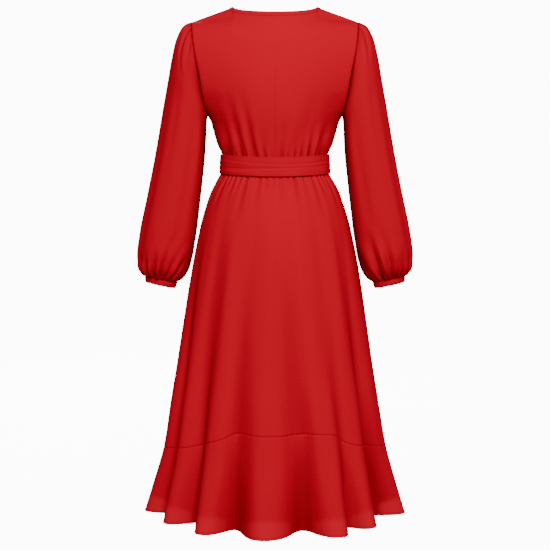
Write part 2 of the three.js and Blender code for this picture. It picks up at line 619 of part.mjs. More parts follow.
const knotSin = Math.sin(radians(KNOT.turn));
const knotCos = Math.cos(radians(KNOT.turn));
const knotRing = BELT_RINGS[1];
const knotFacing = new THREE.Vector3(-knotSin / knotRing.side, knotCos / knotRing.front, 0).normalize();
const knotAlong = new THREE.Vector3(-knotFacing.y, knotFacing.x, 0);
const knotPlace = new THREE.Vector3(
  -knotRing.side * knotSin,
  knotRing.front * knotCos,
  (BELT.topZ + BELT.bottomZ) / 2,
).addScaledVector(knotFacing, (CLOTH + SEAM_GAP + KNOT.depth) / 2);
const knot = sew('belt_knot', new THREE.SphereGeometry(0.5, 16, 10), DEEP_RED);
knot.geometry.rotateX(Math.PI / 2);
knot.geometry.scale(KNOT.width, KNOT.depth, KNOT.height);
knot.position.copy(knotPlace);
knot.rotation.z = Math.atan2(knotFacing.y, knotFacing.x) - Math.PI / 2;

/** A place just outside the front of the skirt, at a distance from the middle and a height. */
function onSkirtFront(x, z, clear) {
  const side = lookUp(SKIRT, 'side', z);
  const turn = 180 + THREE.MathUtils.radToDeg(Math.asin(x / side));
  return skirtPlace(turn, z, z, 1, 1, CLOTH + clear);
}

// Each end of the sash comes straight out from under the knot, then falls in against the skirt.
const tailTopZ = knotPlace.z - (KNOT.height + SEAM_GAP) / 2;
for (const tail of TAILS) {
  const grid = Array.from({ length: TAIL_ROWS + 1 }, (_, i) => {
    const z = lerp(tailTopZ, tail.toZ, (i / TAIL_ROWS) ** 1.3);
    const share = (tailTopZ - z) / (tailTopZ - tail.toZ);
    const middleX = lerp(tail.fromX, tail.toX, share ** 0.8);
    const width = lerp(TAIL_WIDTH.top, TAIL_WIDTH.full, smoothstep(tailTopZ - z, 0, TAIL_WIDTH.fullBelow));
    const held = 1 - smoothstep(tailTopZ - z, 0, TAIL_FALLS_IN);
    return Array.from({ length: TAIL_COLUMNS + 1 }, (_, j) => {
      const across = width * (j / TAIL_COLUMNS - 0.5);
      const underKnot = knotPlace.clone().addScaledVector(knotAlong, across).addScaledVector(knotFacing, tail.inKnot);
      underKnot.z = z;
      return onSkirtFront(middleX + across, z, tail.clear).lerp(underKnot, held);
    });
  });
  const faces = facings(grid, false);
  faces[0].forEach((facing) => squareTo(facing, new THREE.Vector3(0, 0, 1)));
  sew(tail.name, clothWall(grid, faces, CLOTH), DEEP_RED);
}

export default dress;
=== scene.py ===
"""A long-sleeved wrap dress in red crepe, filled out as worn with nobody in it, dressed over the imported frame.

Sizes are in millimetres until a mesh is made. A turn is an angle round the body in degrees: 0 at the centre back,
90 at the wearer's right side, 180 at the centre front and 270 (or -90) at the wearer's left side.
"""
import logging
import math
from dataclasses import dataclass, field, replace
from enum import Enum

import bpy
import numpy as np
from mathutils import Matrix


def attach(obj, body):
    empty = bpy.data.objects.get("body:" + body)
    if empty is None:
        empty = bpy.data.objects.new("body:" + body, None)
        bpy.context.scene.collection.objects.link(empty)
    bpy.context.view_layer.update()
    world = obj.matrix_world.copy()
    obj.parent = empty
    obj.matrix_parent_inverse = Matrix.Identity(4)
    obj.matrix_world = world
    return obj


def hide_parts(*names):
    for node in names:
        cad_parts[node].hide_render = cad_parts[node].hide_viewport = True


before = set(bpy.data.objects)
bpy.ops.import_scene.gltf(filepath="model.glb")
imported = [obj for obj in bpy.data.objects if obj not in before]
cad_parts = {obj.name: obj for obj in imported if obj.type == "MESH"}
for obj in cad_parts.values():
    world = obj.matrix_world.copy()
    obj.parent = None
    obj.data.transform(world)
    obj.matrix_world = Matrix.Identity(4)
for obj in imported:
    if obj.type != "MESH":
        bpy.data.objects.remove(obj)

LOG = logging.getLogger("wrap_dress")
MM = 0.001
CLOTH = 1.0
SEAM_GAP = 0.3

NECK_POINT_X = 100.0
NECK_DROP_BACK = 16.0
NECK_DEPTH_BACK = 62.0
SHOULDER_X, SHOULDER_Z = 195.0, -34.0
UNDERARM_X, UNDERARM_Z = 158.0, -248.0
ARMHOLE_BOW = 5.0
ARMHOLE_DEPTH = {"back": 62.0, "front": 56.0}
SHOULDER_ROUNDING = 70.0
WAIST_Z = -366.0
WAIST_DIP_BACK = 6.0
WRAP_EDGE_X = -70.0
WRAP_EDGE_BEND = 1.1
WRAP_STEP = 2.4
SEAM_SIDE_Z = -1044.0
SEAM_LIFT_STARTS_Z = -600.0
HEM_SIZED_AT = -1210.0
COLUMNS_ROUND = 112.0
FOLD_COLUMNS = 8.0
FIRST_RIDGE_COLUMN = 2.0
WRAP_COLUMNS = 10.0
RIDGE_BREADTH = 0.3
VALLEY_LEAN = 0.09
# Painted shade rises with how far the cloth lies below the cloth around it.
PAINTED_SHADE_DEPTH = 9.0
PAINTED_SHADE_STARTS = 0.15
SHARP_ANGLE = math.radians(55)
HEM_MM_PER_DEGREE = 4.4
STITCH_ROW_ABOVE_HEM = 6
# Where the painted shade of a valley lies and how wide it is.
VALLEY_SHADE_SHIFT, VALLEY_SHADE_WIDTH = 0.14, 0.17
BINDING_WIDTH = 8.0


@dataclass(frozen=True)
class Table:
    """A short table whose named columns are read as smooth curves against its first column.

    Attributes:
        columns: the columns' names.
        rows: one row of numbers for each section, in rising or falling order of the first column.
    """

    columns: tuple[str, ...]
    rows: tuple[tuple[float, ...], ...]

    def read(self, column: str, where: np.ndarray) -> np.ndarray:
        """Read one column at many places.

        Between two rows the curve is a cubic, and its slope at each row is that of the line between the rows
        on both sides of it.

        Args:
            column: the column to read.
            where: values of the first column; outside the table they are held at its ends.

        Returns:
            The column's values at those places.
        """
        data = np.asarray(sorted(self.rows), float)
        x, y = data[:, 0], data[:, self.columns.index(column)]
        before = np.maximum(np.arange(len(x)) - 1, 0)
        after = np.minimum(np.arange(len(x)) + 1, len(x) - 1)
        slope = (y[after] - y[before]) / (x[after] - x[before])
        at = np.clip(where, x[0], x[-1])
        i = np.clip(np.searchsorted(x, at, side="right") - 1, 0, len(x) - 2)
        step = x[i + 1] - x[i]
        t = (at - x[i]) / step
        rise = t * t * (3 - 2 * t)
        bend = slope[i] * t * (1 - t) ** 2 - slope[i + 1] * t * t * (1 - t)
        return y[i] * (1 - rise) + y[i + 1] * rise + step * bend


TRUNK = Table(
    ("z", "back", "front", "flat"),
    (
        (0, 56, 26, 2),
        (-34, 72, 42, 2),
        (-80, 88, 60, 2),
        (-140, 99, 86, 2),
        (-200, 103, 108, 1.7),
        (-250, 101, 117, 1.35),
        (-300, 93, 109, 1.1),
        (-333, 87.5, 97, 1),
        (-346, 85.2, 91.5, 1),
        (-366, 84, 90, 1),
        (-380, 84, 90, 1),
    ),
)
SIDE_SEAM = Table(
    ("z", "side"),
    ((-248, 158), (-270, 151), (-291, 145), (-319, 137), (-333, 130), (-346, 124.3), (-366, 122)),
)
SKIRT = Table(
    ("z", "side", "back", "front"),
    (
        (-366, 122, 84, 90),
        (-388, 127.2, 88, 94),
        (-404, 137, 96, 99),
        (-433, 152.5, 107, 106),
        (-490, 172, 125, 117),
        (-548, 185.3, 138, 126),
        (-606, 195.6, 147, 133),
        (-692, 208.5, 157, 143),
        (-848, 229.5, 172, 160),
        (-926, 240, 181, 169),
        (-1044, 254, 194, 183),
        (-1123, 265, 202, 192),
        (-1210, 276.5, 210, 202),
    ),
)
FOLD_REACH = Table(
    ("z", "folds", "gathers", "drawn"),
    (
        (-366, 0, 1.2, 0),
        (-388, 0, 1.8, 0),
        (-404, 0, 3, 0),
        (-440, 0, 2.2, 0),
        (-490, 0.5, 1.2, 0),
        (-606, 2.6, 0, 0.1),
        (-692, 4.5, 0, 0.25),
        (-848, 9, 0, 0.6),
        (-926, 12.5, 0, 0.8),
        (-1044, 18, 0, 1),
        (-1123, 28, 0, 1),
        (-1210, 41, 0, 1),
    ),
)
FOLDS = np.array(
    # turn of the ridge, its height, depth of the valley after it, whether that valley starts low, steepness, lean,
    # how much painted shade the valley takes
    [
        (-79, 1, 1.1, 0, 0.1, 0.6, 0.9),
        (-56, 0.95, 0.8, 0, 0.1, 0.4, 0.2),
        (-34, 1, 0.8, 0, 0.15, -0.7, 0.0),
        (-5, 1.1, 0.85, 0, 0.3, 0.5, 0.0),
        (30, 1.1, 0.5, 1, 0.15, -0.1, 0.0),
        (48, 0.95, 1.4, 0, 0.1, -0.7, 2.8),
        (78, 1, 0.8, 0, 0.4, 0, 0.2),
        (99, 0.9, 0.9, 0, 0.3, 0.5, 0.3),
        (127, 1, 0.95, 0, 0.1, 0.7, 0.3),
        (154, 0.85, 1, 0, 0.2, 0.5, 0.2),
        (180, 1, 0.9, 1, 0.1, 0.7, 0.0),
        (206, 0.9, 1.05, 0, 0.1, -0.5, 0.2),
        (233, 1, 0.95, 0, 0.2, -0.7, 0.3),
        (257, 0.8, 0.7, 0, 0.4, 0, 0.2),
    ]
)
EDGES = Table(
    ("turn", "seam", "hem"),
    ((90, -1044, -1194), (75, -1039, -1198), (50, -1022, -1204), (36, -1009, -1210), (20, -985, -1212),
     (0, -986, -1213)),
)
SLEEVE_RINGS = (
    # outer x and z, inner x and z, depth behind and in front, place in depth
    (195, -31.6, 158, -248, 62, 56, 0),
    (214, -40.6, 160.5, -254, 63, 58, 0),
    (231.5, -68.6, 162, -264, 63, 60, -1),
    (242.5, -110, 163, -282, 62, 60, -2),
    (252, -166, 164, -308, 60, 60, -4),
    (267, -250, 167, -350, 58, 60, -7),
    (285.5, -350, 174, -410, 57, 58, -12),
    (306, -445, 182.5, -477, 58, 58, -19),
    (325, -530, 192, -546, 60, 58, -27),
    (332.5, -592, 204, -602, 58, 56, -33),
    (329.5, -621, 216, -631, 47, 46, -35),
    (315.5, -636, 237, -651, 28, 28, -36),
)
CUFF_RINGS = (
    (314.5, -635.4, 237, -651.2, 28, 28, -36),
    (314, -651, 242.5, -666.2, 27, 27, -37),
)
BELT = Table(
    ("share", "side", "back", "front"),
    ((0, 129.4, 91.2, 100.6), (0.5, 130.6, 92.4, 101), (1, 131.6, 93.2, 101.4)),
)
BELT_TOP_Z, BELT_BOTTOM_Z = -343.0, -388.0
KNOT_TURN, KNOT_WIDTH, KNOT_HEIGHT, KNOT_DEPTH = 222.0, 46.0, 50.0, 20.0


def smoothstep(value: np.ndarray, low: float, high: float) -> np.ndarray:
    """Rise from 0 at low to 1 at high along a cubic with level ends."""
    t = np.clip((np.asarray(value, float) - low) / (high - low), 0, 1)
    return t * t * (3 - 2 * t)


def lerp(low: np.ndarray, high: np.ndarray, share: np.ndarray) -> np.ndarray:
    """Go the given share of the way from one value to another."""
    return low + (high - low) * share


def points(x: np.ndarray, y: np.ndarray, z: np.ndarray) -> np.ndarray:
    """Stack three arrays, broadcast to one shape, into an array of places."""
    return np.stack(np.broadcast_arrays(x, y, z), axis=-1).astype(float)


def unit(vectors: np.ndarray) -> np.ndarray:
    """Scale vectors to a length of one."""
    return vectors / np.maximum(np.linalg.norm(vectors, axis=-1, keepdims=True), 1e-9)


def facings(grid: np.ndarray, round_: bool) -> np.ndarray:
    """The outward direction at each place of a grid.

    It is the cross product of the step down the rows and the step along the columns, each taken between the
    neighbours on both sides.

    Args:
        grid: places, as rows by columns by 3.
        round_: whether the last column meets the first.

    Returns:
        Directions of length one, in the grid's shape.
    """
    down = np.gradient(grid, axis=0)
    if round_:
        along = np.roll(grid, -1, axis=1) - np.roll(grid, 1, axis=1)
    else:
        along = np.gradient(grid, axis=1)
    return unit(np.cross(down, along))


def lengths_along(grid: np.ndarray, axis: int) -> np.ndarray:
    """Distance from the first row or column to each place, measured along the cloth."""
    steps = np.linalg.norm(np.diff(grid, axis=axis), axis=-1)
    pad = [(1, 0), (0, 0)] if axis == 0 else [(0, 0), (1, 0)]
    return np.pad(np.cumsum(steps, axis=axis), pad)


def sunk(grid: np.ndarray, round_: bool, passes: int = 150) -> np.ndarray:
    """How far each place lies below the cloth around it, in millimetres.

    The grid is averaged with its neighbours many times over, and carried straight on past its open edges. A place
    is as deep as the averaged cloth stands outward from it, below 0 on a ridge, and counts less near the first row.

    Args:
        grid: places, as rows by columns by 3.
        round_: whether the last column meets the first.
        passes: how many times it is averaged.

    Returns:
        The depths, in the grid's shape.
    """
    mean = grid
    for _ in range(passes):
        rows = np.pad(mean, [(1, 1), (0, 0), (0, 0)], mode="reflect", reflect_type="odd")
        mean = (rows[:-2] + 2 * mean + rows[2:]) / 4
        sides = [(0, 0), (1, 1), (0, 0)]
        if round_:
            cols = np.pad(mean, sides, mode="wrap")
        else:
            cols = np.pad(mean, sides, mode="reflect", reflect_type="odd")
        mean = (cols[:, :-2] + 2 * mean + cols[:, 2:]) / 4
    inner = smoothstep(np.arange(len(grid)), 0, 24)[:, None]
    return ((mean - grid) * facings(grid, round_)).sum(axis=-1) * inner


@dataclass(frozen=True)
class Crease:
    """One crease in a panel's own two coordinates, deepest where it starts and fading to where it ends.

    Attributes:
        at: its place across the panel where it starts.
        to: its place across the panel where it ends.
        start: where it starts, in the other coordinate.
        end: where it ends.
        depth: how deep it is at its start, in millimetres.
        width: half its width at the start.
        spread: how many times wider it is at its end.
    """

    at: float
    to: float
    start: float
    end: float
    depth: float
    width: float
    spread: float = 2.4

    def press(self, across: np.ndarray, along: np.ndarray, period: float = 0.0) -> np.ndarray:
        """How far the crease moves each place outward.

        Across the crease the shape is a bell-shaped trough with a low ridge on each side of it. Along it, the
        depth falls from the start to nothing at the end on a smooth curve.

        Args:
            across: the first coordinate of each place.
            along: the second coordinate of each place.
            period: the length of a full turn in the first coordinate, or 0 where it doesn't close.

        Returns:
            Distances in millimetres, below 0 in the trough.
        """
        t = (along - self.start) / (self.end - self.start)
        apart = across - lerp(self.at, self.to, np.clip(t, 0, 1))
        if period:
            apart = (apart + period / 2) % period - period / 2
        q = apart / (self.width * lerp(1, self.spread, np.clip(t, 0, 1)))
        shape = 0.4 * np.exp(-((np.abs(q) - 1.9) ** 2)) - np.exp(-q * q)
        return self.depth * shape * (1 - smoothstep(t, 0, 1)) * (t > -0.25)


def creased(rows: tuple[tuple[float, ...], ...], across: np.ndarray, along: np.ndarray,
            period: float = 0.0) -> np.ndarray:
    """Add up the creases of a table, one row each, in the order of the fields of Crease."""
    total = np.zeros(np.broadcast(across, along).shape)
    for row in rows:
        total += Crease(*row).press(across, along, period)
    return total


@dataclass
class Cloth:
    """A panel of cloth, as a grid of places with what its mesh and its finish need.

    Attributes:
        name: the piece's name.
        grid: places at the middle of the cloth, as rows by columns by 3.
        thickness: one number, or one for each place.
        round_: whether the last column meets the first.
        seam: how much painted shade each place takes, from 0 to 1: near a seam or stitching, in creases and along
            tight gaps.
        painted_through_light: how much painted light each place takes where light would come through a single
            layer, from 0 to 1.
        painted_shade: how much painted shade each place takes where it lies deep between other cloth, from 0 to 1.
    """

    name: str
    grid: np.ndarray
    thickness: np.ndarray | float = CLOTH
    round_: bool = False
    seam: np.ndarray | float = 0.0
    painted_through_light: np.ndarray | float = 0.0
    painted_shade: np.ndarray | float = 0.0

    def push(self, distance: np.ndarray) -> "Cloth":
        """Move every place outward by a distance in millimetres."""
        self.grid = self.grid + facings(self.grid, self.round_) * np.asarray(distance)[..., None]
        return self

    def mesh(self) -> bpy.types.Object:
        """Make the closed mesh: two layers half the thickness off the grid, joined along the cut edges.

        The texture coordinates are the distances along and down the cloth, in metres.

        Returns:
            The new object, linked to the scene, with its place in its mesh.
        """
        rows, cols = self.grid.shape[:2]
        strips = cols if self.round_ else cols - 1
        faces = facings(self.grid, self.round_)
        half = np.broadcast_to(self.thickness, (rows, cols))[..., None] / 2
        outer, inner = self.grid + faces * half, self.grid - faces * half
        layers = np.concatenate([outer.reshape(-1, 3), inner.reshape(-1, 3)])
        closed = np.concatenate([self.grid, self.grid[:, :1]], axis=1) if self.round_ else self.grid
        across = lengths_along(closed, 1).mean(axis=0)[None, :].repeat(rows, 0)
        down = lengths_along(closed, 0).mean(axis=1)[:, None].repeat(strips + 1, 1)
        cloth_uv = np.stack([across, down], axis=-1).reshape(-1, 2) * MM
        i, j = np.meshgrid(np.arange(rows - 1), np.arange(strips), indexing="ij")
        corner = [(i, j), (i + 1, j), (i + 1, j + 1), (i, j + 1)]
        k = np.arange(strips)
        top, bottom = (0 * k, k), (0 * k + rows - 1, k)
        next_top, next_bottom = (0 * k, k + 1), (0 * k + rows - 1, k + 1)
        quads = [
            [(*c, 0) for c in corner],
            [(*c, 1) for c in (corner[0], corner[3], corner[2], corner[1])],
            [(*top, 0), (*next_top, 0), (*next_top, 1), (*top, 1)],
            [(*bottom, 0), (*bottom, 1), (*next_bottom, 1), (*next_bottom, 0)],
        ]
        if not self.round_:
            r = np.arange(rows - 1)
            left, right = (r, 0 * r), (r, 0 * r + cols - 1)
            low_left, low_right = (r + 1, 0 * r), (r + 1, 0 * r + cols - 1)
            quads.append([(*left, 0), (*left, 1), (*low_left, 1), (*low_left, 0)])
            quads.append([(*right, 0), (*low_right, 0), (*low_right, 1), (*right, 1)])
        vertex = np.concatenate([
            np.stack([(a * cols + b % cols + side * rows * cols).ravel() for a, b, side in quad], axis=1)
            for quad in quads
        ])
        uv_at = np.concatenate([
            np.stack([(a * (strips + 1) + b).ravel() for a, b, _ in quad], axis=1) for quad in quads
        ])
        mesh = bpy.data.meshes.new(self.name)
        mesh.from_pydata(layers * MM, [], vertex)
        mesh.polygons.foreach_set("use_smooth", np.ones(len(vertex), bool))
        layer = mesh.uv_layers.new(name="cloth")
        layer.data.foreach_set("uv", cloth_uv[uv_at.ravel()].ravel())
        # Painted shade: the deeper the cloth lies below the cloth around it, the darker it is painted, on top of
        # the piece's own painted shade.
        deep = 1 - np.exp(-np.maximum(sunk(self.grid, self.round_) - PAINTED_SHADE_STARTS, 0) / PAINTED_SHADE_DEPTH)
        painted_shade = np.clip(deep + self.painted_shade, 0, 1)
        for label, value in (("seam", self.seam), ("painted_through_light", self.painted_through_light), ("painted_shade", painted_shade)):
            data = np.broadcast_to(value, (rows, cols)).ravel()
            attribute = mesh.attributes.new(label, "FLOAT", "POINT")
            attribute.data.foreach_set("value", np.concatenate([data, data]).astype(np.float32))
        mesh.set_sharp_from_angle(angle=SHARP_ANGLE)
        made = bpy.data.objects.new(self.name, mesh)
        bpy.context.scene.collection.objects.link(made)
        return made


class Held(Enum):
    """How a sheet of cloth is held."""

    GATHERED = "gathered"
    HUNG = "hung"
    FOLDED = "folded"


@dataclass(frozen=True)
class Cut:
    """The flat size that a piece was cut to, in metres, and how it is held.

    Attributes:
        width: the cut's width.
        length: the cut's length.
        area: its flat area in square metres.
        held: how it is held.
        rests_on: the nodes that hold it.
    """

    width: float
    length: float
    area: float
    held: Held
    rests_on: tuple[str, ...]


@dataclass(frozen=True)
class CrepeFinish:
    """The red crepe: a matt cloth with a fine pebbled grain and a faint sheen, with painted shade in its seams,
    creases and folds and painted light where light would come through a single layer.

    Attributes:
        name: the material's name.
        colour: its own colour, in linear light.
        painted_seam_shade_colour: the colour of painted shade in the grooves of seams and stitching, in creases and
            along tight gaps.
        painted_through_light_colour: the colour of painted light where light would come through a single layer.
        painted_shade_share: how much of its colour is left under full painted shade, deep in a fold.
        roughness: how matt it is.
        grain: how strong the grain is.
    """

    name: str
    colour: tuple[float, float, float]
    painted_seam_shade_colour: tuple[float, float, float]
    painted_through_light_colour: tuple[float, float, float]
    painted_shade_share: float = 0.55
    roughness: float = 0.8
    grain: float = 0.35

    def material(self, grain_group: bpy.types.NodeTree) -> bpy.types.Material:
        """Make the material.

        Args:
            grain_group: the node group that gives the grain's height and the cloth's tone.

        Returns:
            The new material.
        """
        made = bpy.data.materials.new(self.name)
        made.use_nodes = True
        tree = made.node_tree
        tree.nodes.clear()
        out = tree.nodes.new("ShaderNodeOutputMaterial")
        shader = tree.nodes.new("ShaderNodeBsdfPrincipled")
        shader.inputs["Roughness"].default_value = self.roughness
        shader.inputs["Specular IOR Level"].default_value = 0.03
        shader.inputs["Sheen Weight"].default_value = 0.01
        shader.inputs["Sheen Roughness"].default_value = 0.45
        shader.inputs["Sheen Tint"].default_value = (1.0, 0.08, 0.12, 1.0)
        grain = tree.nodes.new("ShaderNodeGroup")
        grain.node_tree = grain_group
        coordinates = tree.nodes.new("ShaderNodeUVMap")
        coordinates.uv_map = "cloth"
        place = tree.nodes.new("ShaderNodeTexCoord")
        link = tree.links.new
        link(coordinates.outputs["UV"], grain.inputs["Cloth"])
        link(place.outputs["Object"], grain.inputs["Place"])
        tone = self._mix(tree, grain.outputs["Tone"], None, self.colour,
                         tuple(0.9 * c for c in self.colour))
        # Painted shade deep in folds and between pieces.
        deep = self._mix(tree, self._attribute(tree, "painted_shade"), tone, None,
                         tuple(self.painted_shade_share * c for c in self.colour))
        # Painted light where light would come through a single layer.
        painted_through_light = self._mix(tree, self._attribute(tree, "painted_through_light"), deep, None, self.painted_through_light_colour)
        # Painted shade in the grooves of seams and stitching, in creases and along tight gaps.
        seam = self._mix(tree, self._attribute(tree, "seam"), painted_through_light, None, self.painted_seam_shade_colour)
        link(seam, shader.inputs["Base Color"])
        bump = tree.nodes.new("ShaderNodeBump")
        bump.inputs["Strength"].default_value = self.grain
        bump.inputs["Distance"].default_value = 0.0004
        link(grain.outputs["Height"], bump.inputs["Height"])
        link(bump.outputs["Normal"], shader.inputs["Normal"])
        link(shader.outputs["BSDF"], out.inputs["Surface"])
        return made

    @staticmethod
    def _attribute(tree: bpy.types.NodeTree, name: str) -> bpy.types.NodeSocket:
        """Read one of the mesh's own values."""
        node = tree.nodes.new("ShaderNodeAttribute")
        node.attribute_name = name
        return node.outputs["Fac"]

    @staticmethod
    def _mix(tree: bpy.types.NodeTree, share: bpy.types.NodeSocket, first: bpy.types.NodeSocket | None,
             first_colour: tuple[float, float, float] | None,
             second_colour: tuple[float, float, float]) -> bpy.types.NodeSocket:
        """Mix a colour or a linked colour with a second colour by a share."""
        node = tree.nodes.new("ShaderNodeMix")
        node.data_type = "RGBA"
        tree.links.new(share, node.inputs["Factor"])
        if first is None:
            node.inputs["A"].default_value = (*first_colour, 1)
        else:
            tree.links.new(first, node.inputs["A"])
        node.inputs["B"].default_value = (*second_colour, 1)
        return node.outputs["Result"]


def grain_group() -> bpy.types.NodeTree:
    """Make the node group of the crepe's grain.

    Its height is a fine pebble, drawn out along the threads of both directions. Its tone is a slow, faint
    unevenness of the dye.

    Returns:
        The group, with inputs Cloth and Place and outputs Height and Tone.
    """
    group = bpy.data.node_groups.new("crepe_grain", "ShaderNodeTree")
    face = group.interface
    face.new_socket("Cloth", in_out="INPUT", socket_type="NodeSocketVector")
    face.new_socket("Place", in_out="INPUT", socket_type="NodeSocketVector")
    face.new_socket("Height", in_out="OUTPUT", socket_type="NodeSocketFloat")
    face.new_socket("Tone", in_out="OUTPUT", socket_type="NodeSocketFloat")
    start = group.nodes.new("NodeGroupInput")
    end = group.nodes.new("NodeGroupOutput")

    def noise(source: str, scale: float, detail: float,
              stretch: tuple[float, float, float]) -> bpy.types.NodeSocket:
        """Noise on one of the inputs, stretched along its axes."""
        turned = group.nodes.new("ShaderNodeMapping")
        turned.inputs["Scale"].default_value = stretch
        group.links.new(start.outputs[source], turned.inputs["Vector"])
        node = group.nodes.new("ShaderNodeTexNoise")
        node.inputs["Scale"].default_value = scale
        node.inputs["Detail"].default_value = detail
        group.links.new(turned.outputs["Vector"], node.inputs["Vector"])
        return node.outputs["Fac"]

    def maths(operation: str, first: bpy.types.NodeSocket,
              second: bpy.types.NodeSocket | float) -> bpy.types.NodeSocket:
        """One step of arithmetic on a value and a second value or a number."""
        node = group.nodes.new("ShaderNodeMath")
        node.operation = operation
        group.links.new(first, node.inputs[0])
        if isinstance(second, float):
            node.inputs[1].default_value = second
        else:
            group.links.new(second, node.inputs[1])
        return node.outputs["Value"]

    warp = noise("Cloth", 900.0, 2.0, (1.0, 0.35, 1.0))
    weft = noise("Cloth", 900.0, 2.0, (0.35, 1.0, 1.0))
    pebble = noise("Cloth", 320.0, 3.0, (1.0, 1.0, 1.0))
    height = maths("ADD", maths("ADD", warp, weft), maths("MULTIPLY", pebble, 1.4))
    group.links.new(height, end.inputs["Height"])
    slow = noise("Place", 9.0, 3.0, (1.0, 1.0, 0.4))
    fine = noise("Cloth", 160.0, 2.0, (1.0, 0.5, 1.0))
    tone = maths("ADD", maths("MULTIPLY", slow, 0.7), maths("MULTIPLY", fine, 0.3))
    group.links.new(tone, end.inputs["Tone"])
    return group


@dataclass
class Wardrobe:
    """The finishes, and what every finished piece gets."""

    cloth: bpy.types.Material
    trim: bpy.types.Material
    thread: bpy.types.Material

    def dress(self, piece: bpy.types.Object, node: str, trim: bool = False) -> bpy.types.Object:
        """Finish a piece that stands for a node, and hide the node's own part."""
        piece.data.materials.append(self.trim if trim else self.cloth)
        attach(piece, "root")
        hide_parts(node)
        return piece

    def stitch(self, piece: bpy.types.Object) -> bpy.types.Object:
        """Finish a row of stitches."""
        piece.data.materials.append(self.thread)
        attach(piece, "root")
        return piece


@dataclass(frozen=True)
class StitchRow:
    """A row of machine stitches along a line on the cloth.

    Attributes:
        length: the length of a stitch, in millimetres.
        gap: the space between two stitches.
        radius: half the thread's thickness.
    """

    length: float = 2.1
    gap: float = 0.7
    radius: float = 0.22

    def mesh(self, name: str, line: np.ndarray, outward: np.ndarray, closed: bool = False) -> bpy.types.Object:
        """Make the stitches as one mesh.

        Each is a short spindle: a square of four places at both shoulders and a point at both ends, which dip
        into the cloth.

        Args:
            name: the piece's name.
            line: places along the line, in millimetres.
            outward: the cloth's outward direction at each of them.
            closed: whether the line's end meets its start.

        Returns:
            The new object.
        """
        if closed:
            line = np.concatenate([line, line[:1]])
            outward = np.concatenate([outward, outward[:1]])
        run = np.concatenate([[0], np.cumsum(np.linalg.norm(np.diff(line, axis=0), axis=1))])
        starts = np.arange(self.gap, run[-1] - self.length, self.length + self.gap)

        def at(distance: np.ndarray, values: np.ndarray) -> np.ndarray:
            """Values at distances along the line."""
            return np.stack([np.interp(distance, run, values[:, k]) for k in range(3)], axis=-1)

        rings = []
        for share, reach, lift in ((0.0, 0.0, -0.5), (0.2, 1.0, 0.6), (0.8, 1.0, 0.6), (1.0, 0.0, -0.5)):
            centre = at(starts + share * self.length, line)
            up = unit(at(starts + share * self.length, outward))
            ahead = unit(at(starts + (share + 0.05) * self.length, line) - centre)
            side = unit(np.cross(ahead, up))
            centre = centre + up * lift * self.radius
            for a, b in ((1, 0), (0, 1), (-1, 0), (0, -1)) if reach else ((0, 0),):
                rings.append(centre + self.radius * (a * side + b * up))
        verts = np.stack(rings, axis=1)
        quads = [(1 + k, 1 + (k + 1) % 4, 5 + (k + 1) % 4, 5 + k) for k in range(4)]
        ends = [(0, 1 + (k + 1) % 4, 1 + k) for k in range(4)] + [(9, 5 + k, 5 + (k + 1) % 4) for k in range(4)]
        count = len(starts)
        faces = [tuple(v + 10 * s for v in face) for s in range(count) for face in quads + ends]
        mesh = bpy.data.meshes.new(name)
        mesh.from_pydata(verts.reshape(-1, 3) * MM, [], faces)
        mesh.polygons.foreach_set("use_smooth", np.ones(len(faces), bool))
        made = bpy.data.objects.new(name, mesh)
        bpy.context.scene.collection.objects.link(made)
        return made


